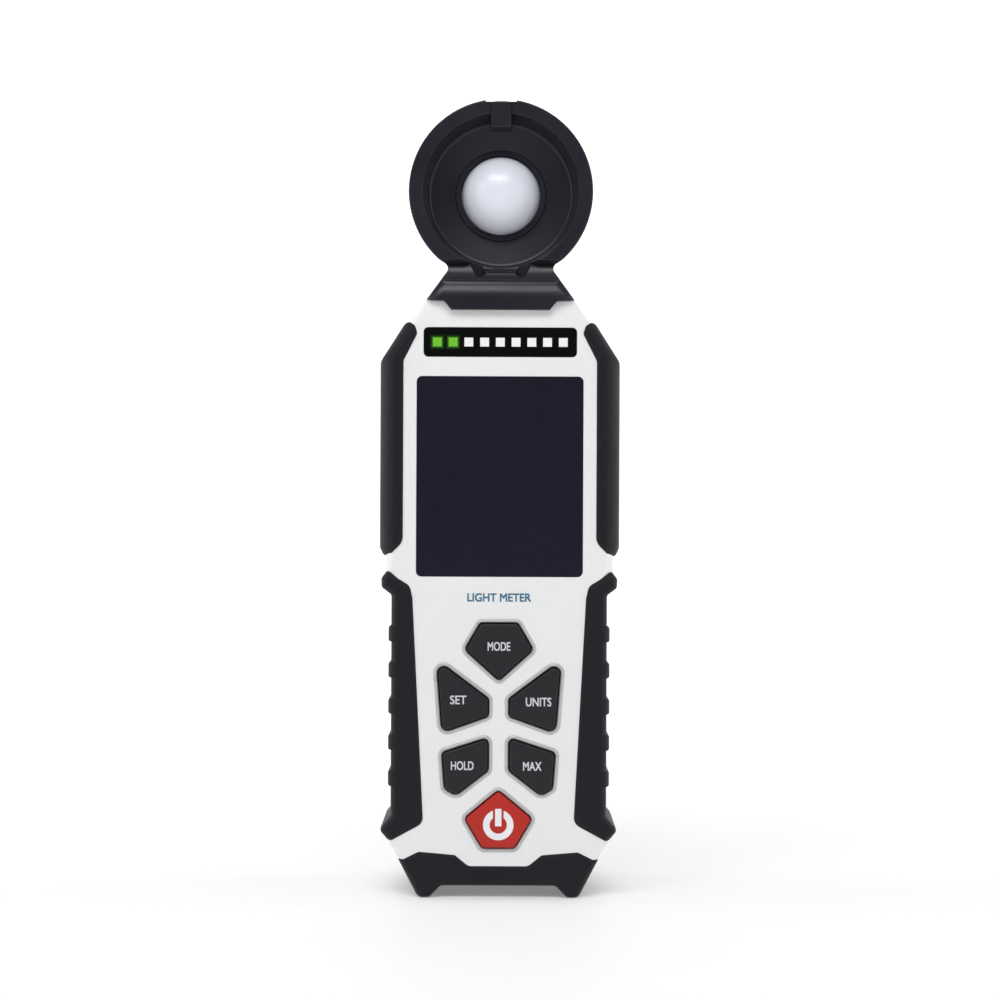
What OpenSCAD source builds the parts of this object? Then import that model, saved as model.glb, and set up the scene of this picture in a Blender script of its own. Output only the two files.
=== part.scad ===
// Handheld light meter: hooded dome sensor on a short neck, moulded two-part case with rubber
// grips, a display, a row of level lamps, six keys, and four AAA cells behind a hinged door.
// Frame: origin on the ground at the middle of the feet, +Z up, the display faces -Y.

/* [Overall] */
// Height from the feet to the top of the sensor hood
total_h = 225; // [224:0.5:227]
// Depth from the hood's rim to the back of the grips
total_d = 38; // [38:0.5:40]

/* [Case] */
// Width of the case at its waist
case_w = 64.4; // [64:0.2:65]
// How far the case's face stands behind the hood's rim
face_back = 2.5; // [2:0.1:3]
// Wall thickness of the case's face
wall = 2.2; // [2:0.1:2.4]
// Where the front case ends and the rear case starts, along Y
parting_y = -2; // [-3:0.5:-1]

/* [Grips] */
// Width across the upper grips
grip_w = 68.2; // [67.8:0.2:68.6]
// Width across the lower grips
lower_grip_w = 61; // [60.4:0.2:61.4]
// How far the rubber stands proud of the case
rubber_proud = 0.6; // [0.4:0.1:0.6]
// How deep the case is stepped in under the rubber
rubber_step = 1.2; // [1:0.1:1.3]
// Number of finger ribs on each lower grip
rib_count = 5; // [3:1:5]
// Spacing of the finger ribs
rib_pitch = 10.2; // [10:0.1:10.4]

/* [Sensor head] */
// Outer radius of the hood
hood_r = 26; // [25.8:0.1:26.2]
// Radius of the bowl at the hood's rim
bowl_r = 22; // [21.8:0.1:22.2]
// Radius of the diffuser dome
dome_r = 11.1; // [11:0.05:11.2]
// Wall thickness of the head shells
head_wall = 1.8; // [1.6:0.1:2]

/* [Display and lamps] */
// Width of the display window
window_w = 47; // [46.6:0.2:47.2]
// Height of the display window
window_h = 56.5; // [56:0.1:57]
// Width of the lamp strip
strip_w = 43.2; // [43:0.1:43.4]
// Height of the lamp strip
strip_h = 8.3; // [8:0.1:8.4]
// Side of one square lamp
lamp = 2.5; // [2.4:0.1:2.6]
// Number of lamps in the strip
lamp_count = 9; // [9:1:9]
// Number of lamps that are lit
lit_count = 2; // [1:1:8]

/* [Keys] */
// How far a key stands in from its drawn surround
key_inset = 0.4; // [0.3:0.05:0.5]
// How far a key stands out of the case's face
key_proud = 1.2; // [1.1:0.1:1.3]
// Travel of a key
key_travel = 1; // [0.9:0.1:1]
// Gap between a key and its hole
key_gap = 0.35; // [0.3:0.05:0.4]

/* [Battery] */
// Diameter of a cell
cell_d = 10.5; // [10.3:0.1:10.5]
// Length of a cell with its nub
cell_l = 44.5; // [44:0.1:44.5]
// Number of cells
cell_count = 4; // [4:1:4]
// Thickness of the battery door
door_t = 2.4; // [2.2:0.1:2.4]

/* [Tripod socket] */
// Radius of the tapped hole, which is the tap drill of a 1/4-20 thread
socket_r = 2.55; // [2.5:0.05:2.6]
// Depth of the tapped hole
socket_l = 8; // [7:0.5:8]
// Height of the tapped hole above the feet
socket_z = 120; // [116:1:124]

/* [Hidden] */
$fn = 64;
ARC_STEPS = 5;
KEYS = ["mode", "set", "units", "hold", "max", "power"];

// Depths along Y, front to back
rim_y = -total_d / 2;
back_y = total_d / 2;
face_y = rim_y + face_back;
rubber_front_y = face_y - rubber_proud;
case_back_y = back_y - rubber_proud;
step_front_y = face_y + rubber_step;
step_back_y = case_back_y - rubber_step;
inside_front_y = face_y + wall;
inside_back_y = case_back_y - wall;
board_y = -10.4;
board_t = 1.6;
board_back_y = board_y + board_t;

// Heights along Z
hood_z = total_h - hood_r;
neck_z = 168.6;
window_z = 118.8;
strip_z = 156.7;
bottom_z = 5.2;

// Half widths
case_hw = case_w / 2;
grip_hw = grip_w / 2;
lower_hw = lower_grip_w / 2;
neck_hw = 21;
neck_waist_hw = 14.9;

// ---------- outlines ----------

function xy(p) = [p[0], p[1]];
function unit(v) = v / norm(v);
function wrap(a) = a > 180 ? a - 360 : a < -180 ? a + 360 : a;
function at(pts, i) = pts[(i + len(pts)) % len(pts)];

// The points of corner b between a and c, rounded to radius r
function corner(a, b, c, r) = r <= 0 ? [b] :
    let (u = unit(a - b), v = unit(c - b), half = acos(u * v) / 2,
         m = b + unit(u + v) * r / sin(half),
         s = b + u * r / tan(half) - m,
         e = b + v * r / tan(half) - m,
         from = atan2(s[1], s[0]),
         sweep = wrap(atan2(e[1], e[0]) - from))
    [for (i = [0:ARC_STEPS]) let (a = from + sweep * i / ARC_STEPS) m + r * [cos(a), sin(a)]];

// A closed outline of [x, z, radius] corners as plain points
function rounded(pts) = [
    for (i = [0:len(pts) - 1]) each corner(xy(at(pts, i - 1)), xy(pts[i]), xy(at(pts, i + 1)), pts[i][2])
];

// The same corners moved outwards by d; the outline runs anticlockwise
function grow(pts, d) = [
    for (i = [0:len(pts) - 1])
        let (b = xy(pts[i]), u = unit(b - xy(at(pts, i - 1))), v = unit(xy(at(pts, i + 1)) - b),
             nu = [u[1], -u[0]], nv = [v[1], -v[0]], m = (nu + nv) / (1 + nu * nv),
             convex = u[0] * v[1] - u[1] * v[0] > 0, r = pts[i][2])
        [b[0] + d * m[0], b[1] + d * m[1], r == 0 ? 0 : max(0.05, r + (convex ? d : -d))]
];

// A right half, listed from its foot upwards, with its mirror image
function both_halves(half) = concat(half, flip(half));
function flip(pts) = [for (i = [len(pts) - 1:-1:0]) [-pts[i][0], pts[i][1], pts[i][2]]];
function box_outline(hw, z0, z1, r) = both_halves([[hw, z0, r], [hw, z1, r]]);

// White case where it shows: beside the bumper, at the waist and on the shoulders
CASE = both_halves([
    [24.4, 4, 0], [28.2, 10.7, 0], [31.2, 15.9, 0], [lower_hw - 1.5, 20, 0], [lower_hw - 1.5, 87, 0],
    [case_hw, 91, 0], [case_hw, 151.8, 0], [24.9, 163, 0.5], [neck_hw, neck_z, 0.3]
]);
// The stepped-in case under the rubber
STEP = both_halves([
    [22.4, bottom_z, 2], [26.2, 12, 1], [lower_hw - 1.9, 19, 2], [lower_hw - 1.9, 86.5, 3],
    [30.4, 92.5, 2], [grip_hw - 2.2, 103, 3], [grip_hw - 2.2, 150.6, 3], [25.2, 160.7, 1], [20.2, 167.4, 0]
]);
// Upper grip, right side
UPPER_GRIP = [
    [32.3, 95.2, 0.9], [grip_hw, 99.5, 4], [grip_hw, 151.2, 2.5], [25.4, 164.4, 1.6],
    [23.3, 158.9, 1.8], [26.6, 152.6, 0], [27.2, 150.6, 1.5], [27.2, 100.2, 3]
];
// Lower grip, right side
LOWER_GRIP = [
    [30.9, 15.6, 1.4], [33.8, 19, 1.5], [lower_hw, 22.9, 1], [lower_hw, 85.3, 1.2],
    [33.3, 87.4, 1.2], [33.4, 90, 1.3], [31.6, 92.4, 1.2], [25.1, 88.4, 3.5], [24.4, 84.4, 2], [21.2, 22, 4]
];
// The same grip where it wraps round onto the back, clear of the battery door
LOWER_GRIP_BACK = [
    [30.9, 15.6, 1.4], [33.8, 19, 1.5], [lower_hw, 22.9, 1], [lower_hw, 85.3, 1.2],
    [33.3, 87.4, 1.2], [33.4, 90, 1.3], [31.6, 92.4, 1.2], [26.4, 89, 2], [25.4, 86, 2], [25.4, 22.6, 3]
];
GRIP_TURN_Y = 10;
// Bumper around the foot of the case
BUMPER = both_halves([
    [16.2, 3.3, 1.5], [19.4, 0, 1.6], [22.8, 0, 1.8], [28.4, 10.7, 0.3],
    [22.6, 13.6, 2.5], [12, 12.7, 2], [8.2, 9.6, 2]
]);
NECK = both_halves([[neck_hw, neck_z, 0], [neck_waist_hw, 177.9, 1.2], [neck_waist_hw, 186, 0]]);
TONGUE = both_halves([[13.9, 165.8, 0.4], [16.2, neck_z + 1, 0]]);
BOARD = both_halves([
    [21, 11, 1], [25.4, 20, 1], [25.4, 88, 1], [27.6, 94, 1], [28, 150, 2], [20.5, 158.6, 1]
]);
WINDOW = box_outline(window_w / 2, window_z - window_h / 2, window_z + window_h / 2, 1.5);
STRIP = box_outline(strip_w / 2, strip_z - strip_h / 2, strip_z + strip_h / 2, 1.3);

// The keys' surrounds, each as an anticlockwise outline
UNITS_KEY = [[2.7, 51.1, 1.2], [16.2, 46.3, 2], [17.85, 67.6, 2], [2.7, 56.3, 1.4]];
MAX_KEY = [[2.7, 35.9, 1.6], [12, 28.7, 2.2], [15.4, 30.7, 1.6], [16.2, 41.1, 1.6], [2.7, 45.5, 1.5]];
function key_outline(name) = grow(key_surround(name), -key_inset);
function key_surround(name) =
    name == "mode" ? [[0, 61.1, 1.1], [9.9, 70, 1.7], [5.4, 77.7, 1.3], [-5.4, 77.7, 1.3], [-9.9, 70, 1.7]] :
    name == "units" ? UNITS_KEY :
    name == "set" ? flip(UNITS_KEY) :
    name == "max" ? MAX_KEY :
    name == "hold" ? flip(MAX_KEY) :
    [[4.7, 13.9, 1.5], [9.8, 22.5, 1.6], [0, 30.6, 1.4], [-9.8, 22.5, 1.6], [-4.7, 13.9, 1.5]];
function middle(pts) = [for (k = [0, 1]) [for (p = pts) p[k]] * [for (p = pts) 1] / len(pts)];

// ---------- prisms ----------

// An outline in X and Z, filled from y0 back to y1
module slab(outline, y0, y1)
    translate([0, y1, 0]) rotate([90, 0, 0]) linear_extrude(y1 - y0) polygon(rounded(outline));

// A profile in Y and Z, filled from x0 to x1
module profile_bar(profile, x0, x1)
    translate([x0, 0, 0]) rotate([90, 0, 90]) linear_extrude(x1 - x0) polygon(rounded(profile));

// A rectangle in X and Y with rounded front and back corners, filled over the whole height
module column(hw, y0, y1, front_r, rear_r)
    linear_extrude(total_h) polygon(rounded([
        [-hw, y0, front_r], [hw, y0, front_r], [hw, y1, rear_r], [-hw, y1, rear_r]
    ]));

// A shape turned about the sensor's axis: profile is [radius, y]
module turned(profile)
    translate([0, 0, hood_z]) rotate([-90, 0, 0]) rotate_extrude() polygon(profile);

// A round bar along Y
module rod_y(x, z, r, y0, y1)
    translate([x, y1, z]) rotate([90, 0, 0]) cylinder(h = y1 - y0, r = r);

module block(x0, x1, y0, y1, z0, z1) translate([x0, y0, z0]) cube([x1 - x0, y1 - y0, z1 - z0]);

module at_both_sides() {
    children();
    mirror([1, 0, 0]) children();
}

// ---------- case ----------

SCREW_SPOTS = [[17.5, 19.5], [23.6, 95], [22.6, 149.8]];
SCREW_R = 1.25;
SCREW_HEAD_R = 2.5;
SCREW_SEAT_Y = 9;
BOARD_SPOTS = [[23, 40], [23, 84]];

SHOULDER_Z = 152;
function side_profile(y0, y1, z0, z1, back_top_y) = [
    [y0, z0, 0], [y1, z0, 0], [y1, SHOULDER_Z, 4], [back_top_y, z1, 0], [y0, z1, 0]
];

module case_outer() intersection() {
    slab(CASE, face_y, case_back_y);
    column(case_hw + 0.4, face_y, case_back_y, 4, 7);
    profile_bar(side_profile(face_y, case_back_y, 0, neck_z, 12.5), -40, 40);
}

module case_step() intersection() {
    slab(STEP, step_front_y, step_back_y);
    column(grip_hw - 2.2, step_front_y, step_back_y, 5, 8);
    profile_bar(side_profile(step_front_y, step_back_y, 0, neck_z - 1.2, 11.3), -40, 40);
}

module cavity() intersection() {
    slab(grow(STEP, -2), inside_front_y, inside_back_y);
    column(grip_hw - 4.2, inside_front_y, inside_back_y, 4, 7);
    profile_bar(side_profile(inside_front_y, inside_back_y, 0, neck_z - wall, 9.6), -40, 40);
}

module rubber_zones() {
    at_both_sides() {
        slab(UPPER_GRIP, rim_y - 1, back_y + 1);
        slab(LOWER_GRIP, rim_y - 1, GRIP_TURN_Y);
        slab(LOWER_GRIP_BACK, GRIP_TURN_Y, back_y + 1);
    }
    slab(BUMPER, rim_y - 1, back_y + 1);
}

module case_body() difference() {
    union() {
        case_step();
        difference() {
            case_outer();
            rubber_zones();
        }
    }
    cavity();
    neck_hole();
}

NECK_PLUG_HW = 18.5;
PLUG_FRONT_Y = -12.6;
PLUG_BACK_Y = 8.6;
NECK_FIT = 0.15;

module neck_hole() {
    block(-NECK_PLUG_HW - NECK_FIT, NECK_PLUG_HW + NECK_FIT, PLUG_FRONT_Y - NECK_FIT,
        PLUG_BACK_Y + NECK_FIT, neck_z - 6, neck_z + 1);
    slab(grow(TONGUE, 0.02), face_y - 1, TONGUE_BACK_Y + 0.02);
}
TONGUE_BACK_Y = face_y + 1.1;

module key_holes() for (name = KEYS) {
    slab(grow(key_outline(name), key_gap), face_y - 1, inside_front_y + 1);
    slab(grow(key_outline(name), key_gap + 0.7), face_y - 1, face_y + 0.6);
}

WINDOW_T = 1.2;
STRIP_T = 1;
VIEW_HW = 19.9;
VIEW_Z = [93.6, 144];

module front_case() color("white") difference() {
    union() {
        intersection() {
            case_body();
            block(-40, 40, face_y, parting_y, 0, total_h);
        }
        at_both_sides() {
            for (p = SCREW_SPOTS) rod_y(p[0], p[1], 2.4, inside_front_y - 0.1, parting_y);
            for (p = BOARD_SPOTS) rod_y(p[0], p[1], 2.1, inside_front_y - 0.1, board_y);
        }
    }
    at_both_sides() {
        for (p = SCREW_SPOTS) rod_y(p[0], p[1], SCREW_R, -12, parting_y + 1);
        for (p = BOARD_SPOTS) rod_y(p[0], p[1], 0.9, -13.6, board_y + 1);
    }
    slab(grow(WINDOW, 0.05), face_y - 1, face_y + WINDOW_T);
    slab(box_outline(VIEW_HW, VIEW_Z[0], VIEW_Z[1], 1), face_y, inside_front_y + 1);
    slab(grow(STRIP, 0.05), face_y - 1, face_y + STRIP_T);
    slab(box_outline(strip_w / 2 - 1.4, strip_z - 2.8, strip_z + 2.8, 0.5), face_y, inside_front_y + 1);
    key_holes();
}

// Battery compartment, in the rear case
TRAY_HW = 21.7;
TRAY_Z = [34.6, 85.4];
TRAY_FLOOR_Y = 4.6;
TRAY_WALL = 1.6;
cell_y = TRAY_FLOOR_Y + 0.35 + cell_d / 2;
door_y = case_back_y - door_t;
door_hw = 22.4;
door_z = [31, 88];
hinge_y = case_back_y - door_t / 2;
hinge_z = door_z[0] + door_t / 2;
HINGE_PIN_R = 0.7;
HINGE_HOLE_R = 0.75;
LATCH_HW = 6;
LATCH_Z = 79;

module rear_case() color("white") difference() {
    union() {
        intersection() {
            case_body();
            block(-40, 40, parting_y, back_y, 0, total_h);
        }
        block(-TRAY_HW - TRAY_WALL, TRAY_HW + TRAY_WALL, TRAY_FLOOR_Y - TRAY_WALL, inside_back_y + 0.5,
            TRAY_Z[0] - TRAY_WALL, TRAY_Z[1] + TRAY_WALL);
        at_both_sides() {
            for (p = SCREW_SPOTS) rod_y(p[0], p[1], 3.4, parting_y, inside_back_y + 0.5);
            block(TRAY_HW, TRAY_HW + 4, 14, inside_back_y + 0.5, hinge_z - 2.4, hinge_z + 2.4);
        }
        rod_y(0, socket_z, 6.6, 6.6, inside_back_y + 0.5);
    }
    at_both_sides() for (p = SCREW_SPOTS) {
        rod_y(p[0], p[1], SCREW_R + 0.2, parting_y - 1, back_y);
        rod_y(p[0], p[1], SCREW_HEAD_R + 0.35, SCREW_SEAT_Y, back_y);
    }
    block(-TRAY_HW, TRAY_HW, TRAY_FLOOR_Y, back_y, TRAY_Z[0], TRAY_Z[1]);
    at_both_sides() rod_y(LEAD_X, LEAD_Z, LEAD_R + 0.1, TRAY_FLOOR_Y - TRAY_WALL - 1, TRAY_FLOOR_Y + 1);
    slab(grow(DOOR, 0.2), door_y - 0.1, back_y);
    block(-LATCH_HW - 0.3, LATCH_HW + 0.3, door_y - 1.9, door_y, TRAY_Z[1] + TRAY_WALL - 2, door_z[1] + 0.2);
    translate([-door_hw - 1.7, hinge_y, hinge_z]) rotate([0, 90, 0])
        cylinder(h = 2 * door_hw + 3.4, r = HINGE_HOLE_R);
    rod_y(0, socket_z, 5, 8.4, back_y);
}

module case_gasket() color("dimgray") difference() {
    slab(grow(STEP, -2.05), parting_y - 0.6, parting_y + 0.6);
    slab(grow(STEP, -3), parting_y - 1, parting_y + 1);
    block(-NECK_PLUG_HW - 1.2, NECK_PLUG_HW + 1.2, -4, 2, neck_z - 9, neck_z + 1);
}

// ---------- rubber ----------

module rubber() difference() {
    intersection() {
        children();
        column(grip_hw + 0.2, rubber_front_y, back_y, 6.5, 8.5);
        profile_bar(side_profile(rubber_front_y, back_y, 0, total_h, -5), -40, 40);
    }
    case_step();
}

module grip_upper_right() color([0.13, 0.13, 0.15]) rubber() slab(UPPER_GRIP, rubber_front_y, back_y);
module grip_upper_left() mirror([1, 0, 0]) grip_upper_right();

RIB_Z = 33.6;
module grip_lower_right() color([0.13, 0.13, 0.15]) difference() {
    union() {
        rubber() union() {
            slab(LOWER_GRIP, rubber_front_y, GRIP_TURN_Y);
            slab(LOWER_GRIP_BACK, GRIP_TURN_Y, back_y);
        }
        for (i = [0:rib_count - 1])
            slab(box_outline_at(lower_hw - 1, lower_hw + 0.8, RIB_Z + i * rib_pitch, 4.4, 0.6), -12.5, 13);
    }
    case_step();
}
function box_outline_at(x0, x1, z, h, r) = [
    [x0, z - h / 2, 0], [x1, z - h / 2 + 0.5, r], [x1, z + h / 2 - 0.5, r], [x0, z + h / 2, 0]
];
module grip_lower_left() mirror([1, 0, 0]) grip_lower_right();

module base_bumper() color([0.12, 0.12, 0.13]) difference() {
    intersection() {
        slab(BUMPER, rubber_front_y, back_y);
        column(28.6, rubber_front_y, back_y, 5, 7);
        profile_bar([
            [rubber_front_y, 2.5, 0], [rubber_front_y + 2.5, 0, 0], [back_y - 2.5, 0, 0], [back_y, 2.5, 0],
            [back_y, 30, 0], [rubber_front_y, 30, 0]
        ], -40, 40);
    }
    case_step();
}

// ---------- sensor head ----------

split_y = -3;
head_back_y = 7;
BOWL_EDGE = [20.2, -10.4];
SEAT_R = 12.9;
BOWL_FLOOR_Y = -9.2;
SEAT_Y = -6.6;
FLOOR_BACK_Y = SEAT_Y + head_wall;
SENSOR_HOLE_R = 9.5;
HEAD_SPOTS = [45, 135, 225, 315];
HEAD_SPOT_R = 19.2;
HEAD_BOSS_R = 2.3;
HEAD_BOSS_Y = -8.5;
RIM_CHAMFER = 0.5;
BACK_CHAMFER = [1.4, 3];
// How much the hood narrows for each millimetre towards its back
HOOD_DRAFT = 0.13;
function hood_r_at(y) = hood_r - HOOD_DRAFT * (y - rim_y);

// The rounded upper face of a roll across the neck, from one angle up from its crest to another
function roll(crest_y, crest_z, r, from, to) = [
    for (i = [0:ARC_STEPS]) let (a = from + (to - from) * i / ARC_STEPS)
        [crest_y + r - r * cos(a), crest_z + r * sin(a), 0]
];
// Neck profile in Y and Z: two rolls and the tongue in front, a plain slope behind
NECK_SIDE = concat(
    [[TONGUE_BACK_Y, 165.8, 0], [TONGUE_BACK_Y, neck_z, 0], [head_back_y + 3.5, neck_z, 0],
     [head_back_y, 181, 3], [head_back_y, 190, 0], [rim_y, 190, 0], [rim_y, 179.8, 0.3]],
    roll(rim_y + 0.1, 173.8, 8, 38, 8), [[-16.7, 174.5, 0]],
    roll(-18.2, 168.4, 9, 38, 0), [[-18.2, 165.8, 0]]
);

module neck_solid() intersection() {
    union() {
        slab(NECK, rim_y, back_y);
        slab(TONGUE, rim_y, TONGUE_BACK_Y);
    }
    profile_bar(NECK_SIDE, -30, 30);
}

module neck_plug() {
    block(-NECK_PLUG_HW, NECK_PLUG_HW, PLUG_FRONT_Y, PLUG_BACK_Y, 160, neck_z + 0.5);
    block(-20.2, 20.2, PLUG_FRONT_Y - 0.8, PLUG_BACK_Y + 0.6, 160, 162.2);
}

// The way for the sensor cable, from the head down through the neck
module neck_way() block(-9, 9, PLUG_FRONT_Y + 3, PLUG_BACK_Y - 3, 159, 184);

// Head shell without its neck, as a turned solid between two depths
module hood_outer() turned([
    [0, rim_y], [hood_r - RIM_CHAMFER, rim_y], [hood_r, rim_y + RIM_CHAMFER],
    [hood_r_at(head_back_y - BACK_CHAMFER[1]), head_back_y - BACK_CHAMFER[1]],
    [hood_r_at(head_back_y - BACK_CHAMFER[1]) - BACK_CHAMFER[0], head_back_y], [0, head_back_y]
]);
module bowl() turned([
    [0, rim_y - 1], [bowl_r + 0.4, rim_y - 1], [bowl_r, rim_y], BOWL_EDGE,
    [SEAT_R, BOWL_FLOOR_Y], [SEAT_R, SEAT_Y], [SENSOR_HOLE_R, SEAT_Y], [SENSOR_HOLE_R, 0], [0, 0]
]);
module head_inside() turned([
    [0, FLOOR_BACK_Y], [14, FLOOR_BACK_Y], [BOWL_EDGE[0] + 0.6, BOWL_EDGE[1] + 3],
    [hood_r_at(BOWL_EDGE[1] + 3) - head_wall, BOWL_EDGE[1] + 3],
    [hood_r_at(head_back_y - 3.4) - head_wall, head_back_y - 3.4],
    [hood_r_at(head_back_y) - head_wall - 1.6, head_back_y - head_wall], [0, head_back_y - head_wall]
]);

// A bar along Y at the head screw that stands at angle a
function head_spot(a) = [HEAD_SPOT_R * cos(a), hood_z + HEAD_SPOT_R * sin(a)];
module head_rod(a, r, y0, y1) rod_y(head_spot(a)[0], head_spot(a)[1], r, y0, y1);

// Notch and latch rib for a clip-on cap, at the top of the rim, and its catch at the foot
NOTCH_HW = 4.3;
LATCH_RIB_HW = 2.9;
module cap_notch() difference() {
    block(-NOTCH_HW, NOTCH_HW, rim_y - 1, rim_y + 6, hood_z + hood_r - 1.4, total_h + 1);
    turned([[0, rim_y - 2], [hood_r - 0.7, rim_y - 2], [hood_r - 0.7, 0], [0, 0]]);
}
module latch_rib() intersection() {
    block(-LATCH_RIB_HW, LATCH_RIB_HW, rim_y + 0.4, -10, hood_z + 16.4, total_h);
    turned([[0, rim_y], [hood_r - 2, rim_y], [hood_r - 2, 0], [0, 0]]);
}
CATCH_SLOT = [
    [4.1, 175.9, 0.3], [5.3, 175, 0.3], [7, 175.2, 0.5], [8.3, 177.7, 0.5], [8.55, 179.6, 0.3], [5.8, 179.4, 0.3]
];
module cap_catch() {
    slab(both_halves([[4.1, 175.9, 0], [8.2, 182, 0]]), rim_y - 1, rim_y + 1.5);
    profile_bar([
        [rim_y - 1, 174.75, 0], [rim_y + 0.1, 174.75, 0], [rim_y + 0.6, 176, 0], [rim_y - 1, 176, 0]
    ], -4.2, 4.2);
    at_both_sides() slab(CATCH_SLOT, rim_y - 1, rim_y + 2.6);
}

module head_body() difference() {
    union() {
        difference() {
            union() {
                hood_outer();
                neck_solid();
                neck_plug();
            }
            bowl();
            head_inside();
        }
        latch_rib();
        for (a = HEAD_SPOTS) head_rod(a, HEAD_BOSS_R, HEAD_BOSS_Y, head_back_y - 1);
    }
    neck_way();
    cap_notch();
    cap_catch();
}

module head_front_shell() color([0.12, 0.12, 0.14]) difference() {
    intersection() {
        head_body();
        block(-40, 40, rim_y, split_y, 150, total_h);
    }
    for (a = HEAD_SPOTS) head_rod(a, 0.9, HEAD_BOSS_Y, 0);
}

module head_rear_shell() color([0.12, 0.12, 0.14]) difference() {
    intersection() {
        head_body();
        block(-40, 40, split_y, back_y, 150, total_h);
    }
    for (a = HEAD_SPOTS) {
        head_rod(a, 1.1, split_y - 1, back_y);
        head_rod(a, 1.9, head_back_y - 1.6, back_y);
    }
}

dome_y = -7.8;
DOME_T = 1.2;
function dome_arc(r, from, to) = [
    for (i = [0:ARC_STEPS * 2]) let (a = from + (to - from) * i / ARC_STEPS / 2)
        [r * cos(a), dome_y - r * sin(a)]
];
module sensor_dome() color("whitesmoke") turned(concat(
    dome_arc(dome_r, 0, 90), dome_arc(dome_r - DOME_T, 90, 0),
    [[dome_r - DOME_T, dome_y + DOME_T], [SEAT_R - 0.7, dome_y + DOME_T], [SEAT_R - 0.7, dome_y]]
));

module dome_collar() color([0.11, 0.11, 0.15]) turned([
    [dome_r + 0.15, dome_y], [dome_r + 0.15, dome_y - 1.2], [dome_r + 0.5, dome_y - 1.6],
    [SEAT_R - 0.5, dome_y - 1.6], [SEAT_R - 0.1, dome_y - 1.2], [SEAT_R - 0.1, dome_y]
]);

SENSOR_BOARD_Y = -2.4;
SENSOR_BOARD_T = 1.2;
module photopic_filter() color("seagreen") rod_y(0, hood_z, 4, SENSOR_BOARD_Y - 3.6, SENSOR_BOARD_Y - 2.6);
module photodiode() color("silver") {
    rod_y(0, hood_z, 4.1, SENSOR_BOARD_Y - 2.6, SENSOR_BOARD_Y - 0.6);
    rod_y(0, hood_z, 4.6, SENSOR_BOARD_Y - 0.6, SENSOR_BOARD_Y);
}
module sensor_board() color("darkgreen") {
    rod_y(0, hood_z, 14, SENSOR_BOARD_Y, SENSOR_BOARD_Y + SENSOR_BOARD_T);
    block(-4, 4, SENSOR_BOARD_Y + SENSOR_BOARD_T, SENSOR_BOARD_Y + SENSOR_BOARD_T + 3, 188, 192);
}

// A tube of radius r swept along points
function frame_at(path, i, ref) =
    let (t = unit(path[min(i + 1, len(path) - 1)] - path[max(i - 1, 0)]), side = unit(cross(t, ref)))
    [side, cross(t, side)];
module swept(path, r, sides = 8, ref = [1, 0.01, 0.02]) {
    n = len(path);
    points = [for (i = [0:n - 1]) let (f = frame_at(path, i, ref)) for (k = [0:sides - 1])
        path[i] + r * (cos(360 * k / sides) * f[0] + sin(360 * k / sides) * f[1])];
    walls = [for (i = [0:n - 2]) for (k = [0:sides - 1])
        let (a = i * sides + k, b = i * sides + (k + 1) % sides)
            each [[a, b, b + sides], [a, b + sides, a + sides]]];
    polyhedron(points, concat([[for (k = [sides - 1:-1:0]) k]], walls,
        [[for (k = [0:sides - 1]) (n - 1) * sides + k]]));
}

CABLE_ROUTE = [
    [0, 0.3, 188], [0, 0.3, 184], [0, 0.2, 179], [0, -0.4, 174], [0, -1.6, 169], [0, -3.2, 164],
    [0, -5, 159], [0, -6.2, 155.5], [0, -6.6, 152], [0, -6.6, 149]
];
module sensor_cable() color("gray") swept(CABLE_ROUTE, 1.2);

// ---------- display and lamps ----------

module display_window() color([0.14, 0.13, 0.18]) slab(WINDOW, face_y, face_y + WINDOW_T);

PANEL_HW = 21;
PANEL_Z = [89.6, 147.6];
PANEL_FRONT_Y = inside_front_y + 0.6;
module display_gasket() color("dimgray") difference() {
    slab(box_outline(PANEL_HW - 0.1, PANEL_Z[0] + 0.2, PANEL_Z[1] - 0.2, 1), inside_front_y, PANEL_FRONT_Y);
    slab(box_outline(VIEW_HW, VIEW_Z[0], VIEW_Z[1], 1), rim_y, 0);
}
module display_panel() color("darkslategray")
    slab(box_outline(PANEL_HW, PANEL_Z[0], PANEL_Z[1], 0.5), PANEL_FRONT_Y, PANEL_FRONT_Y + 2.1);
module display_frame() color("silver")
    slab(box_outline(PANEL_HW, PANEL_Z[0], PANEL_Z[1], 0.5), PANEL_FRONT_Y + 2.1, board_y);
module display_ribbon() color("orange") profile_bar([
    [PANEL_FRONT_Y + 1.9, PANEL_Z[0], 0], [PANEL_FRONT_Y + 1.9, PANEL_Z[0] - 1.2, 0],
    [board_y - 0.6, PANEL_Z[0] - 2.6, 0], [board_y - 0.6, PANEL_Z[0] - 6, 0],
    [board_y - 0.9, PANEL_Z[0] - 6, 0], [board_y - 0.9, PANEL_Z[0] - 2.5, 0],
    [PANEL_FRONT_Y + 1.6, PANEL_Z[0] - 1.1, 0], [PANEL_FRONT_Y + 1.6, PANEL_Z[0], 0]
], -9, 9);

LAMP_PITCH = (strip_w - 2 * 3.85) / (lamp_count - 1);
function lamp_x(i) = (i - (lamp_count - 1) / 2) * LAMP_PITCH;
module lamp_block(i, size, y0, y1) block(lamp_x(i) - size / 2, lamp_x(i) + size / 2, y0, y1,
    strip_z - size / 2, strip_z + size / 2);

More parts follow.
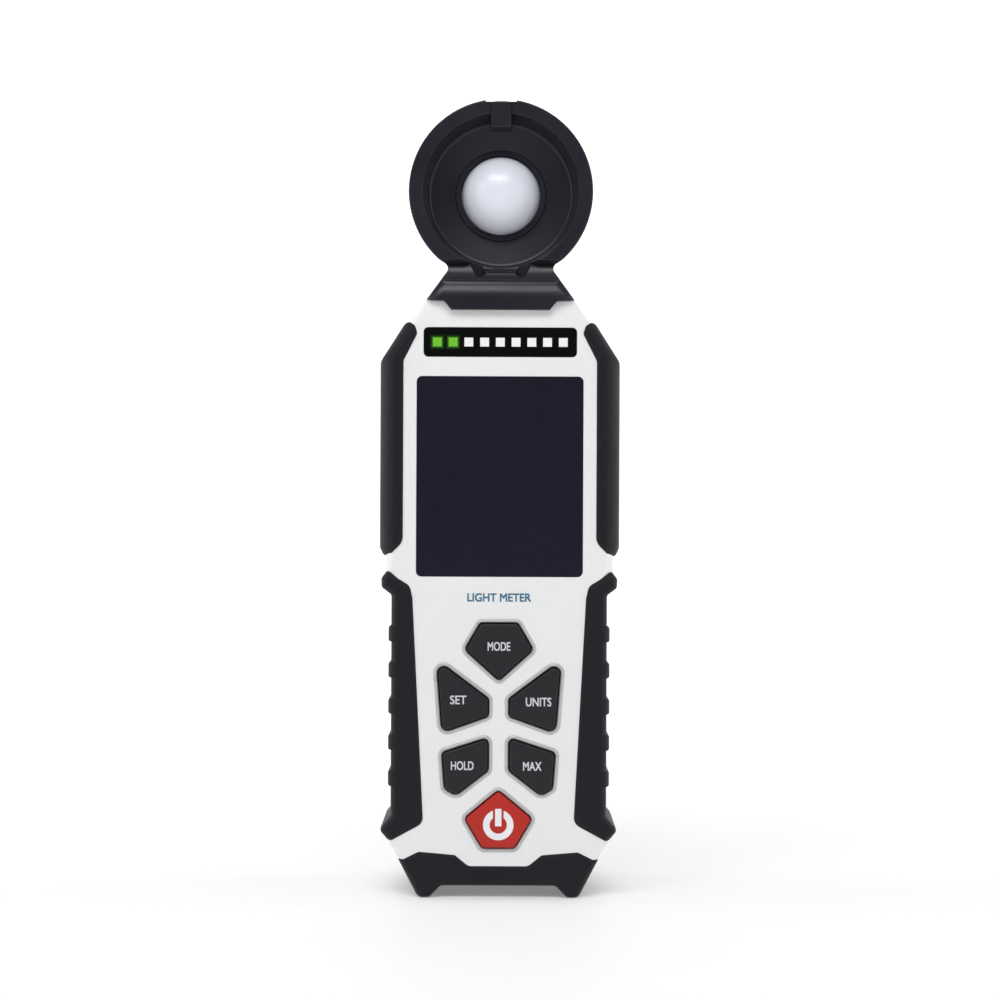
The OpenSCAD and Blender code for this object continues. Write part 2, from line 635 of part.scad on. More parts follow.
module lamp_strip() color([0.08, 0.08, 0.08]) difference() {
    slab(STRIP, face_y, face_y + STRIP_T);
    for (i = [0:lamp_count - 1]) lamp_block(i, lamp, face_y - 1, face_y + 2);
}
module lamps(from, to) for (i = [from:to]) lamp_block(i, lamp, face_y, face_y + 2);
module lamps_lit() color([0.3, 0.85, 0.25]) lamps(0, lit_count - 1);
module lamps_unlit() color("white") lamps(lit_count, lamp_count - 1);
module lamp_baffle() color([0.1, 0.1, 0.1]) difference() {
    slab(box_outline(strip_w / 2 - 1.5, strip_z - 2.7, strip_z + 2.7, 0.5), face_y + STRIP_T, board_y);
    for (i = [0:lamp_count - 1]) lamp_block(i, lamp, face_y, board_y + 1);
}
module lamp_leds() color("lightyellow") for (i = [0:lamp_count - 1]) lamp_block(i, 1.8, board_y - 0.8, board_y);

// ---------- boards ----------

module main_board() color("darkgreen") difference() {
    slab(BOARD, board_y, board_back_y);
    at_both_sides() {
        for (p = SCREW_SPOTS) rod_y(p[0], p[1], 2.7, -12, -6);
        for (p = BOARD_SPOTS) rod_y(p[0], p[1], 1.1, -12, -6);
    }
}
module chip(x, z, w, h, t) block(x - w / 2, x + w / 2, board_back_y, board_back_y + t, z - h / 2, z + h / 2);
module board_chips() color([0.15, 0.15, 0.15]) {
    chip(0, 118, 14, 14, 1.6);
    chip(14, 134, 7, 7, 1.4);
    chip(-14, 104, 5, 6, 1.4);
    chip(-13, 136, 10, 4, 1.6);
}
module board_passives() color("tan") {
    for (i = [0:5]) chip(-12 + 4.8 * i, 94, 2, 1.2, 0.9);
    for (i = [0:3]) chip(18, 108 + 5 * i, 1.2, 2, 0.9);
    rod_y(-19, 122, 3, board_back_y, board_back_y + 5.5);
}
module board_connectors() color("ivory") {
    chip(0, 146.5, 9, 5, 4.4);
    chip(SOCKET_X, SOCKET_Z, 8, 6, 4.4);
    block(-10, 10, board_y - 1.6, board_y, PANEL_Z[0] - 9.6, PANEL_Z[0] - 6);
}
module buzzer() color([0.1, 0.1, 0.1]) difference() {
    rod_y(-15, 80, 6, board_back_y, board_back_y + 5);
    rod_y(-15, 80, 1, board_back_y + 3.5, board_back_y + 6);
}

// ---------- keys ----------

MAT_T = 1.2;
key_front_y = face_y - key_proud;
key_base_y = -12.5;
SKIRT_OUT = 1.1;
SKIRT_T = 0.4;

module key_cap(name) color(name == "power" ? [0.78, 0.18, 0.16] : [0.19, 0.19, 0.2]) {
    slab(grow(key_outline(name), -0.5), key_front_y, key_front_y + 0.4);
    slab(key_outline(name), key_front_y + 0.4, key_base_y);
}
module key_mode() key_cap("mode");
module key_set() key_cap("set");
module key_units() key_cap("units");
module key_hold() key_cap("hold");
module key_max() key_cap("max");
module key_power() key_cap("power");

// Carbon contact under a key
PILL_R = 2.6;
PAD_T = 0.05;
pill_back_y = board_y - PAD_T - key_travel - 0.02;
module pill(name) color([0.1, 0.1, 0.1])
    let (m = middle(key_outline(name))) rod_y(m[0], m[1], PILL_R, key_base_y, pill_back_y);
module pill_mode() pill("mode");
module pill_set() pill("set");
module pill_units() pill("units");
module pill_hold() pill("hold");
module pill_max() pill("max");
module pill_power() pill("power");

module key_pads() color("gold") for (name = KEYS)
    let (m = middle(key_outline(name))) rod_y(m[0], m[1], PILL_R + 0.4, board_y - PAD_T, board_y);

MAT = both_halves([[12.5, 11.6, 2], [12.5, 26.5, 2], [19.6, 27.5, 2], [19.6, 69.5, 2], [13, 79.6, 2]]);
module keypad_mat() color([0.25, 0.25, 0.26]) difference() {
    slab(MAT, board_y - MAT_T, board_y);
    for (name = KEYS) slab(grow(key_outline(name), SKIRT_OUT), -13, -8);
}

// Thin bent wall from the mat up to the foot of each key
module skirt(name) {
    foot = rounded(grow(key_outline(name), SKIRT_OUT));
    foot_in = rounded(grow(key_outline(name), SKIRT_OUT - SKIRT_T));
    top = rounded(grow(key_outline(name), 0));
    top_in = rounded(grow(key_outline(name), -SKIRT_T));
    rings = [foot, top, top_in, foot_in];
    depths = [board_y - MAT_T / 2, key_base_y, key_base_y, board_y - MAT_T / 2];
    n = len(foot);
    polyhedron(
        [for (k = [0:3]) for (p = rings[k]) [p[0], depths[k], p[1]]],
        [for (k = [0:3]) for (i = [0:n - 1])
            [k * n + i, k * n + (i + 1) % n, ((k + 1) % 4) * n + (i + 1) % n, ((k + 1) % 4) * n + i]]
    );
}
module key_skirts() color([0.25, 0.25, 0.26]) for (name = KEYS) skirt(name);

// ---------- battery ----------

DOOR = both_halves([[door_hw, door_z[0], 0], [door_hw, door_z[1], 3]]);
FLEX_GAP = 0.5;

module battery_door() color("white") difference() {
    union() {
        intersection() {
            slab(DOOR, door_y, case_back_y);
            union() {
                block(-door_hw, door_hw, door_y, case_back_y, hinge_z, door_z[1]);
                translate([-door_hw, hinge_y, hinge_z]) rotate([0, 90, 0])
                    cylinder(h = 2 * door_hw, r = door_t / 2);
            }
        }
        translate([-door_hw - 1.5, hinge_y, hinge_z]) rotate([0, 90, 0])
            cylinder(h = 2 * door_hw + 3, r = HINGE_PIN_R);
    }
    block(-LATCH_HW - FLEX_GAP, LATCH_HW + FLEX_GAP, door_y - 1, back_y, LATCH_Z, door_z[1] + 1);
}

// Spring tongue in the door's top edge, with a hook and thumb ridges
module door_latch() color("white") {
    block(-LATCH_HW, LATCH_HW, door_y, case_back_y - 0.4, LATCH_Z, door_z[1]);
    block(-LATCH_HW + 1, LATCH_HW - 1, door_y - 1.4, door_y - 0.3, door_z[1] - 1.2, door_z[1] + 1);
    block(-LATCH_HW + 1, LATCH_HW - 1, door_y - 0.3, door_y, door_z[1] - 1.2, door_z[1]);
    for (i = [0:2]) block(-LATCH_HW + 1, LATCH_HW - 1, case_back_y - 0.4, case_back_y,
        LATCH_Z + 2 + 2 * i, LATCH_Z + 3 + 2 * i);
}

module door_pad() color("dimgray") block(-16, 16, door_y - 0.25, door_y, 50, 62);

function cell_x(i) = (i - (cell_count - 1) / 2) * (cell_d + 0.3);
// Cells lie side by side and point up and down in turn
module per_cell() for (i = [0:cell_count - 1])
    translate([cell_x(i), cell_y, CELL_Z]) rotate([i % 2 == 0 ? 0 : 180, 0, 0]) children();
CELL_TOP = 24.7;
CONTACT_T = 0.3;

module battery_cells() color("steelblue") per_cell() {
    translate([0, 0, CELL_TOP - cell_l]) cylinder(h = cell_l - 1.2, d = cell_d);
    translate([0, 0, CELL_TOP - 1.2]) cylinder(h = 1.2, r = 1.9);
}
CELL_Z = 60;
CONTACT_HW = 4;
CONTACT_Y = [cell_y - 3.5, cell_y + 3.5];
// Plate from cell a to cell b, above or below them; the plates join the cells in series
module contact_plate(a, b, z) block(cell_x(a) - CONTACT_HW, cell_x(b) + CONTACT_HW,
    CONTACT_Y[0], CONTACT_Y[1], z, z + CONTACT_T);
module battery_contacts() color("silver") {
    for (pair = [[0, 0], [1, 2], [3, 3]]) contact_plate(pair[0], pair[1], CELL_Z + CELL_TOP);
    for (pair = [[0, 1], [2, 3]]) contact_plate(pair[0], pair[1], CELL_Z - CELL_TOP - CONTACT_T);
}
SPRING_L = 2 * CELL_TOP - cell_l;
SPRING_WIRE_R = 0.3;
SPRING_TURNS = 3.5;
function spring_point(t) =
    let (r = 3.4 - 1.2 * t, a = 360 * SPRING_TURNS * t)
    [r * cos(a), r * sin(a), -CELL_TOP + 0.32 + t * (SPRING_L - 0.64)];
module battery_springs() color("silver") per_cell()
    swept([for (i = [0:42]) spring_point(i / 42)], SPRING_WIRE_R, 6);

LEAD_R = 0.5;
LEAD_X = 13.5;
LEAD_Z = 84.8;
SOCKET_X = 11.5;
SOCKET_Z = 75.5;
LONG_LEAD = [
    [10, -6.6, 78.5], [10, -6.6, 80], [9, -5.4, 84], [4, -2.5, 87.4], [-4, -1, 88.6], [-10, 0, 87.6],
    [-LEAD_X, 1.4, 85.4], [-LEAD_X, 2.6, LEAD_Z], [-LEAD_X, CONTACT_Y[0], LEAD_Z]
];
SHORT_LEAD = [
    [LEAD_X, -6.6, 78.5], [LEAD_X, -6.6, 80], [LEAD_X, -5, 82.6], [LEAD_X, -2, 84.4],
    [LEAD_X, 1, LEAD_Z], [LEAD_X, CONTACT_Y[0], LEAD_Z]
];
module battery_leads() color("red") {
    swept(LONG_LEAD, LEAD_R, ref = [1, 0, -1]);
    swept(SHORT_LEAD, LEAD_R);
}

// ---------- fasteners ----------

module tripod_socket() color("goldenrod") difference() {
    rod_y(0, socket_z, 5, 8.4, case_back_y);
    rod_y(0, socket_z, socket_r, case_back_y - socket_l, back_y);
}

module screw(x, z, seat_y, head_r, head_t, shank_r, shank_l) {
    difference() {
        rod_y(x, z, head_r, seat_y, seat_y + head_t);
        block(x - head_r * 0.7, x + head_r * 0.7, seat_y + head_t * 0.5, back_y, z - 0.25, z + 0.25);
        block(x - 0.25, x + 0.25, seat_y + head_t * 0.5, back_y, z - head_r * 0.7, z + head_r * 0.7);
    }
    rod_y(x, z, shank_r, seat_y - shank_l, seat_y);
}
module case_screws() color("silver") at_both_sides() for (p = SCREW_SPOTS)
    screw(p[0], p[1], SCREW_SEAT_Y, SCREW_HEAD_R, 1.8, SCREW_R - 0.03, 20);
module head_screws() color("silver") for (a = HEAD_SPOTS)
    screw(head_spot(a)[0], head_spot(a)[1], head_back_y - 1.6, 1.8, 1.2, 0.87, 13);
module board_screws() color("silver") at_both_sides() for (p = BOARD_SPOTS)
    screw(p[0], p[1], board_back_y, 1.9, 1.2, 0.87, 4.4);

front_case();
rear_case();
case_gasket();
grip_upper_left();
grip_upper_right();
grip_lower_left();
grip_lower_right();
base_bumper();
head_front_shell();
head_rear_shell();
sensor_dome();
dome_collar();
photopic_filter();
photodiode();
sensor_board();
sensor_cable();
display_window();
display_gasket();
display_panel();
display_frame();
display_ribbon();
lamp_strip();
lamps_lit();
lamps_unlit();
lamp_baffle();
lamp_leds();
main_board();
board_chips();
board_passives();
board_connectors();
buzzer();
keypad_mat();
key_skirts();
key_pads();
key_mode();
key_set();
key_units();
key_hold();
key_max();
key_power();
pill_mode();
pill_set();
pill_units();
pill_hold();
pill_max();
pill_power();
battery_door();
door_latch();
door_pad();
battery_cells();
battery_springs();
battery_contacts();
battery_leads();
tripod_socket();
case_screws();
head_screws();
board_screws();
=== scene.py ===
"""Looks for the handheld light meter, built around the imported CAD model."""
import math

import bmesh
import bpy
import numpy as np
from mathutils import Matrix, Vector


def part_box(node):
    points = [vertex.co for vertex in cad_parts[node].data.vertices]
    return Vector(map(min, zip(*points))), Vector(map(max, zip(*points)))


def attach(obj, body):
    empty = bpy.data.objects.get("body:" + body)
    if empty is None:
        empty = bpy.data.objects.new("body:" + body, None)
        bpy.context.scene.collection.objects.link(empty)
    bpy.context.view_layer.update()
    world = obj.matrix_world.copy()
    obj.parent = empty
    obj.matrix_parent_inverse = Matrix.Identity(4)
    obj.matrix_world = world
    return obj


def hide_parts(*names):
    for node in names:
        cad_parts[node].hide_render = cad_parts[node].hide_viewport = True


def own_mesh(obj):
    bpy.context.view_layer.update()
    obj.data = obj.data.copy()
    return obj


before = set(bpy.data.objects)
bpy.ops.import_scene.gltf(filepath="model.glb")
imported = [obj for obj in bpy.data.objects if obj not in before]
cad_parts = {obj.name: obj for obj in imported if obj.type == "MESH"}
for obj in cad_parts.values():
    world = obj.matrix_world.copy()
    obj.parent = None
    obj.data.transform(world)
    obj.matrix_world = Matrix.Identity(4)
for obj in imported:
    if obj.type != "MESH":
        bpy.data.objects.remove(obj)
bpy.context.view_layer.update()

# ---------------------------------------------------------------- sizes from the frame, in mm
MM = 0.001


def span(node, axis):
    """Lowest and highest place of a CAD node along one axis, in mm."""
    low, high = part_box(node)
    return low[axis] / MM, high[axis] / MM


def middle(node, axis):
    """Middle of a CAD node along one axis, in mm."""
    return sum(span(node, axis)) / 2


X, Y, Z = 0, 1, 2
RIM_Y = span("head_front_shell", Y)[0]
HEAD_SPLIT_Y, HEAD_BACK_Y = span("head_rear_shell", Y)
HOOD_R = span("head_front_shell", X)[1]
HOOD_Z = middle("sensor_dome", Z)
HEAD_TOP_Z = HOOD_Z + HOOD_R
FACE_Y, PARTING_Y = span("front_case", Y)
CASE_BACK_Y = span("rear_case", Y)[1]
NECK_Z = span("front_case", Z)[1]
RUBBER_FRONT_Y, RUBBER_BACK_Y = span("base_bumper", Y)
GRIP_BACK_Y = span("grip_upper_right", Y)[1]
GRIP_HW = span("grip_upper_right", X)[1]
CASE_HW = span("front_case", X)[1]
DOOR_HW = span("battery_cells", X)[1] + 1
DOOR_Z = span("battery_door", Z)
DOOR_Y = span("battery_door", Y)[0]
CELL_Z = span("battery_contacts", Z)
CELL_FRONT_Y = span("battery_cells", Y)[0]
SOCKET_Z = middle("tripod_socket", Z)
WALL = 2.2             # thickness of the case
STEP_DEPTH = 1.2       # the case stands this far in under the rubber
FIT = 0.05             # gap round a fixed piece let into the case
THROUGH = 1            # how far a cutter reaches past what it cuts
BACK_SLOPE = 0.355     # forward lean of the back above the shoulders, per mm of height
LEAN_LEVELS = (149, 151, 153, 155)   # heights between which the back bends over
LEAN_FULL_Y = 8        # the lean grows from nothing in the middle plane to its full amount here

# ---------------------------------------------------------------- outlines
# An outline is a list of corners (x, z, radius), anticlockwise seen from the front.
ARC_STEPS = 7


def flip(corners):
    """The mirror image of a row of corners, in the order that keeps the outline anticlockwise."""
    return [(-x, z, r) for x, z, r in reversed(corners)]


def both_halves(half):
    """A right half listed from its foot upwards, with its mirror image."""
    return half + flip(half)


def box_outline(hw, z0, z1, r):
    return both_halves([(hw, z0, r), (hw, z1, r)])


def unit(v):
    return v / np.linalg.norm(v)


def cross2(a, b):
    return a[0] * b[1] - a[1] * b[0]


def grow(corners, out):
    """Corners moved outwards. out is one distance, or one for the edge that follows each corner."""
    nearly_straight, least_radius = 0.12, 0.04
    n = len(corners)
    out = [out] * n if np.isscalar(out) else list(out)
    points = np.array([c[:2] for c in corners], float)
    grown = []
    for i in range(n):
        before, after = unit(points[i] - points[i - 1]), unit(points[(i + 1) % n] - points[i])
        d0, d1 = out[i - 1], out[i]
        n0, n1 = np.array([before[1], -before[0]]), np.array([after[1], -after[0]])
        turn = cross2(before, after)
        if abs(turn) < nearly_straight:
            p = points[i] + unit(n0 + n1) * (d0 + d1) / 2
        else:
            p = points[i] + (d1 * before - d0 * after) / turn
        r = corners[i][2]
        if r > 0:
            r = max(least_radius, r + (d0 + d1) / 2 * (1 if turn > 0 else -1))
        grown.append((p[0], p[1], r))
    return grown


def rounded(corners):
    """The outline's points, with each corner as an arc of ARC_STEPS steps where it has a radius."""
    points = []
    n = len(corners)
    for i, (x, z, r) in enumerate(corners):
        b = np.array([x, z])
        if r <= 0:
            points.append(b)
            continue
        u = unit(np.array(corners[i - 1][:2]) - b)
        v = unit(np.array(corners[(i + 1) % n][:2]) - b)
        half = math.acos(max(-1, min(1, u @ v))) / 2
        m = b + unit(u + v) * r / math.sin(half)
        s, e = b + u * r / math.tan(half) - m, b + v * r / math.tan(half) - m
        start = math.atan2(s[1], s[0])
        sweep = (math.atan2(e[1], e[0]) - start + math.pi) % (2 * math.pi) - math.pi
        for k in range(ARC_STEPS + 1):
            a = start + sweep * k / ARC_STEPS
            points.append(m + r * np.array([math.cos(a), math.sin(a)]))
    return points


CASE = both_halves([
    (24.4, 4, 0), (28.2, 10.7, 0.5), (31.2, 15.9, 0.5), (29, 20, 0.5), (29, 86.6, 0.5),
    (CASE_HW, 91.4, 1), (CASE_HW, 151.8, 1), (24.9, 163, 1), (21, NECK_Z, 0.5),
])
STEP = both_halves([
    (22.4, 5.2, 2), (26.2, 12, 1), (28.6, 19, 2), (28.6, 86.5, 3), (30.4, 92.5, 2),
    (31.6, 103, 3), (31.6, 150.6, 3), (25.2, 160.7, 1), (20.2, 167.4, 0),
])
UPPER_GRIP = [
    (27.2, 100.2, 4), (32.5, 95, 1.6), (GRIP_HW, 98.6, 3), (GRIP_HW, 151.2, 2.5),
    (25.2, 165.2, 1.9), (23.3, 159.1, 1.8), (27.2, 151.4, 2),
]
LOWER_GRIP_OUTER = [
    (30.9, 15.6, 1.4), (33.8, 19, 1.5), (30.5, 22.9, 1), (30.5, 85.3, 1.2), (33.3, 87.4, 1.2),
    (33.4, 90, 1.3), (31.6, 92.4, 1.2),
]
LOWER_GRIP = [(21.15, 20.9, 3)] + LOWER_GRIP_OUTER + [(25.3, 88.6, 3), (24.4, 84.4, 2)]
LOWER_GRIP_BACK = [(25.4, 18.75, 2.5)] + LOWER_GRIP_OUTER + [(26.6, 89.3, 2), (25.4, 86, 2)]
BUMPER = both_halves([
    (16.2, 3.3, 1.5), (19.4, 0, 1.6), (22.8, 0, 1.8), (28.4, 10.7, 0.4),
    (22.6, 13.6, 2.5), (12, 12.7, 2), (8.2, 9.6, 2),
])
WINDOW = box_outline(span("display_window", X)[1], *span("display_window", Z), 1.5)
STRIP = box_outline(span("lamp_strip", X)[1], *span("lamp_strip", Z), 1.3)
TONGUE = both_halves([(13.9, 165.8, 0.4), (16.2, NECK_Z + 1, 0)])

# The corners below are each key's surround. The key itself stands in from it.
KEY_INSET = 0.4
KEY_GAP = 0.35
UNITS_KEY = [(2.7, 51.1, 1.2), (16.2, 46.3, 2), (17.85, 67.6, 2), (2.7, 56.3, 1.4)]
MAX_KEY = [(2.7, 35.9, 1.6), (12, 28.7, 2.2), (15.4, 30.7, 1.6), (16.2, 41.1, 1.6), (2.7, 45.5, 1.5)]
KEYS = {
    "mode": [(0, 61.1, 1.1), (9.9, 70, 1.7), (5.4, 77.7, 1.3), (-5.4, 77.7, 1.3), (-9.9, 70, 1.7)],
    "set": flip(UNITS_KEY),
    "units": UNITS_KEY,
    "hold": flip(MAX_KEY),
    "max": MAX_KEY,
    "power": [(4.7, 13.9, 1.5), (9.8, 22.5, 1.6), (0, 30.6, 1.4), (-9.8, 22.5, 1.6), (-4.7, 13.9, 1.5)],
}
KEYS = {name: grow(corners, -KEY_INSET) for name, corners in KEYS.items()}

# ---------------------------------------------------------------- mesh makers


def new_object(name, vertices, faces):
    """A smooth-shaded mesh object from corners in mm."""
    mesh = bpy.data.meshes.new(name)
    mesh.from_pydata([tuple(float(c) * MM for c in v) for v in vertices], [], faces)
    mesh.validate()
    mesh.shade_smooth()
    made = bpy.data.objects.new(name, mesh)
    bpy.context.scene.collection.objects.link(made)
    return made


def lofted(name, rings, closed=False):
    """A solid through rings of (x, y, z) points with one count each, capped, or closed on itself."""
    n = len(rings[0])
    vertices = [p for ring in rings for p in ring]
    faces = []
    for k in range(len(rings) - (0 if closed else 1)):
        here, there = k * n, ((k + 1) % len(rings)) * n
        for i in range(n):
            j = (i + 1) % n
            faces.append((here + i, here + j, there + j, there + i))
    if not closed:
        faces.append(tuple(reversed(range(n))))
        faces.append(tuple(range((len(rings) - 1) * n, len(rings) * n)))
    made = new_object(name, vertices, faces)
    fix_normals(made)
    return made


def fix_normals(obj):
    work = bmesh.new()
    work.from_mesh(obj.data)
    bmesh.ops.recalc_face_normals(work, faces=work.faces)
    work.to_mesh(obj.data)
    work.free()


ROUND_STEPS = 7


def edge_insets(edges, depth):
    """How far each edge stands in at a depth below the face; an edge is (inset, depth) of its rounding."""
    found = []
    for inset, deep in edges:
        left = max(0.0, 1 - depth / deep) if deep > 0 else 0.0
        found.append(-inset * (1 - math.sqrt(1 - left * left)))
    return found


def depth_levels(edges):
    """The depths at which a rounded edge needs a ring of points."""
    levels = {0.0}
    for _, deep in edges:
        if deep > 0:
            turns = [math.pi / 2 * k / ROUND_STEPS for k in range(ROUND_STEPS + 1)]
            levels |= {round(deep * (1 - math.cos(turn)), 4) for turn in turns}
    return sorted(levels)


def per_edge(corners, edges):
    """One (inset, depth) pair for each edge, from one pair or a list."""
    return [edges] * len(corners) if isinstance(edges, tuple) else edges


def pillow(name, corners, y0, y1, front=(0, 0), back=(0, 0)):
    """A slab with rounded front and back edges. Each edge of the outline has its own rounding."""
    front, back = per_edge(corners, front), per_edge(corners, back)
    rings = []
    for depth in depth_levels(front):
        ring = rounded(grow(corners, edge_insets(front, depth)))
        rings.append([(p[0], y0 + depth, p[1]) for p in ring])
    for depth in reversed(depth_levels(back)):
        ring = rounded(grow(corners, edge_insets(back, depth)))
        rings.append([(p[0], y1 - depth, p[1]) for p in ring])
    return lofted(name, rings)


def slab(corners, y0, y1):
    """A plain slab of an outline, between two depths."""
    return pillow("cutter", corners, y0, y1)


def bar_along_x(profile, x0, x1):
    """A prism along X with a rounded profile of (y, z, radius) corners."""
    ring = rounded(profile)
    return lofted("cutter", [[(x, p[0], p[1]) for p in ring] for x in (x0, x1)])


def block(x0, x1, y0, y1, z0, z1):
    return lofted("cutter", [[(x0, y, z0), (x1, y, z0), (x1, y, z1), (x0, y, z1)] for y in (y0, y1)])


def turned(name, profile, x=0, z=None, steps=96):
    """A solid turned about a line along Y through (x, z); the profile is (radius, y)."""
    z = HOOD_Z if z is None else z
    angles = [2 * math.pi * k / steps for k in range(steps)]
    rings = [[(x + r * math.cos(a), y, z + r * math.sin(a)) for a in angles] for r, y in profile]
    return lofted(name, rings)


def rod(x, z, r, y0, y1, steps=40):
    return turned("cutter", [(r, y0), (r, y1)], x, z, steps)


def cut(obj, *others):
    """obj with the others cut from it. The others are used up."""
    for other in others:
        tool = obj.modifiers.new("boolean", "BOOLEAN")
        tool.operation = "DIFFERENCE"
        tool.solver = "EXACT"
        tool.object = other
    graph = bpy.context.evaluated_depsgraph_get()
    mesh = bpy.data.meshes.new_from_object(obj.evaluated_get(graph), depsgraph=graph)
    obj.modifiers.clear()
    obj.data = mesh
    mesh.name = obj.name
    for other in others:
        bpy.data.objects.remove(other)
    return obj


def joined(obj, *others):
    """The meshes of several objects as one object."""
    work = bmesh.new()
    for part in (obj, *others):
        work.from_mesh(part.data)
    work.to_mesh(obj.data)
    work.free()
    for other in others:
        bpy.data.objects.remove(other)
    return obj


def mirrored(obj, name):
    mesh = obj.data.copy()
    mesh.transform(Matrix.Scale(-1, 4, (1, 0, 0)))
    mesh.flip_normals()
    made = bpy.data.objects.new(name, mesh)
    bpy.context.scene.collection.objects.link(made)
    return made


def slope_back(obj):
    """Leans the back of a solid forwards above the shoulders, in a short curve."""
    work = bmesh.new()
    work.from_mesh(obj.data)
    for z in LEAN_LEVELS:
        everything = work.verts[:] + work.edges[:] + work.faces[:]
        bmesh.ops.bisect_plane(work, geom=everything, plane_co=(0, 0, z * MM), plane_no=(0, 0, 1))
    for v in work.verts:
        y, z = v.co.y / MM, v.co.z / MM
        if y > 0 and z > LEAN_LEVELS[0]:
            over = z - LEAN_LEVELS[0]
            bend = LEAN_LEVELS[-1] - LEAN_LEVELS[0]
            lean = BACK_SLOPE * (over * over / 2 / bend if over < bend else over - bend / 2)
            v.co.y = (y - lean * min(1, y / LEAN_FULL_Y)) * MM
    work.to_mesh(obj.data)
    work.free()
    return obj


def finish_edges(obj, width, segments=2):
    """Edges rounded to a width in mm, and flat shading on flat faces."""
    sharpest_left, flat_face_weight = math.radians(35), 60
    if width:
        soften = obj.modifiers.new("edges", "BEVEL")
        soften.width = width * MM
        soften.segments = segments
        soften.limit_method = "ANGLE"
        soften.angle_limit = sharpest_left
        soften.use_clamp_overlap = True
    sharp = obj.modifiers.new("flats", "WEIGHTED_NORMAL")
    sharp.keep_sharp = True
    sharp.weight = flat_face_weight
    return obj


def smooth_by_angle(obj, angle):
    obj.data.shade_smooth()
    obj.data.set_sharp_from_angle(angle=math.radians(angle))
    return obj


def show(obj, material, body="meter", replaces=()):
    """Gives a piece its material and fastens it to its CAD body."""
    obj.data.materials.clear()
    obj.data.materials.append(material)
    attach(obj, body)
    if replaces:
        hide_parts(*replaces)
    return obj

# ---------------------------------------------------------------- materials


class Nodes:
    """Short ways to build one material's node tree."""

    def __init__(self, name, material=None):
        self.material = material or bpy.data.materials.new(name)
        self.material.use_nodes = True
        self.tree = self.material.node_tree
        self.shader = self.tree.nodes["Principled BSDF"]
        self.place = self.add("ShaderNodeTexCoord").outputs["Object"]

    def add(self, kind, **settings):
        node = self.tree.nodes.new(kind)
        for key, value in settings.items():
            setattr(node, key, value)
        return node

    @classmethod
    def of(cls, material):
        return cls(material.name, material)

    def link(self, source, target):
        self.tree.links.new(source, target)

    def maths(self, operation, *values):
        """A maths node; each value is a socket or a number."""
        node = self.add("ShaderNodeMath", operation=operation)
        for socket, value in zip(node.inputs, values):
            if isinstance(value, (int, float)):
                socket.default_value = value
            else:
                self.link(value, socket)
        return node.outputs[0]

    def noise(self, size_mm, detail=3, rough=0.55):
        """Noise whose features are about size_mm across."""
        node = self.add("ShaderNodeTexNoise")
        node.inputs["Scale"].default_value = 1 / (size_mm * MM)
        node.inputs["Detail"].default_value = detail
        node.inputs["Roughness"].default_value = rough
        self.link(self.place, node.inputs["Vector"])
        return node.outputs["Fac"]

    def between(self, source, low, high, start=0.3, end=0.7):
        """source from start to end becomes a value from low to high."""
        node = self.add("ShaderNodeMapRange")
        for key, value in (("From Min", start), ("From Max", end), ("To Min", low), ("To Max", high)):
            node.inputs[key].default_value = value
        self.link(source, node.inputs["Value"])
        return node.outputs["Result"]

    def blend(self, factor, dark, light):
        node = self.add("ShaderNodeMix", data_type="RGBA")
        node.inputs["A"].default_value = (*dark, 1)
        node.inputs["B"].default_value = (*light, 1)
        self.link(factor, node.inputs["Factor"])
        return node.outputs["Result"]

    def bump(self, height, strength, distance_mm, normal=None):
        node = self.add("ShaderNodeBump")
        node.inputs["Strength"].default_value = strength
        node.inputs["Distance"].default_value = distance_mm * MM
        self.link(height, node.inputs["Height"])
        if normal:
            self.link(normal, node.inputs["Normal"])
        return node.outputs["Normal"]


def shade(color, factor):
    return tuple(c * factor for c in color)


def moulded(name, color, rough, grain_mm=0.35, grain=0.25, metal=0.0, spread=0.05, tint=0.06, coat=0.0,
            subsurface=0.0, specular=0.5):
    """A moulded or machined surface: fine grain, uneven gloss and a slow colour drift."""
    n = Nodes(name)
    grain_noise = n.noise(grain_mm, 2, 0.6)
    cloud_mm = 14
    cloud = n.noise(cloud_mm, 4, 0.6)
    n.link(n.between(cloud, rough - spread, rough + spread), n.shader.inputs["Roughness"])
    base = n.blend(n.between(cloud, 0, 1), shade(color, 1 - tint), shade(color, 1 + tint))
    n.link(base, n.shader.inputs["Base Color"])
    normal = n.bump(grain_noise, grain, 0.02)
    normal = n.bump(n.noise(6, 2), 0.12, 0.05, normal)
    n.link(normal, n.shader.inputs["Normal"])
    n.shader.inputs["Metallic"].default_value = metal
    n.shader.inputs["Specular IOR Level"].default_value = specular
    n.shader.inputs["Coat Weight"].default_value = coat
    n.shader.inputs["Coat Roughness"].default_value = 0.08
    n.shader.inputs["Subsurface Weight"].default_value = subsurface
    n.shader.inputs["Subsurface Radius"].default_value = (0.0012, 0.0012, 0.0012)
    return n.material


def glowing(name, color, strength):
    """A lit diffuser, with a slightly uneven glow."""
    n = Nodes(name)
    n.shader.inputs["Base Color"].default_value = (*color, 1)
    n.shader.inputs["Roughness"].default_value = 0.35
    n.shader.inputs["Emission Color"].default_value = (*color, 1)
    unevenness = 0.08
    glow = n.between(n.noise(0.8), strength * (1 - unevenness), strength * (1 + unevenness))
    n.link(glow, n.shader.inputs["Emission Strength"])
    n.link(n.bump(n.noise(0.3), 0.1, 0.02), n.shader.inputs["Normal"])
    return n.material


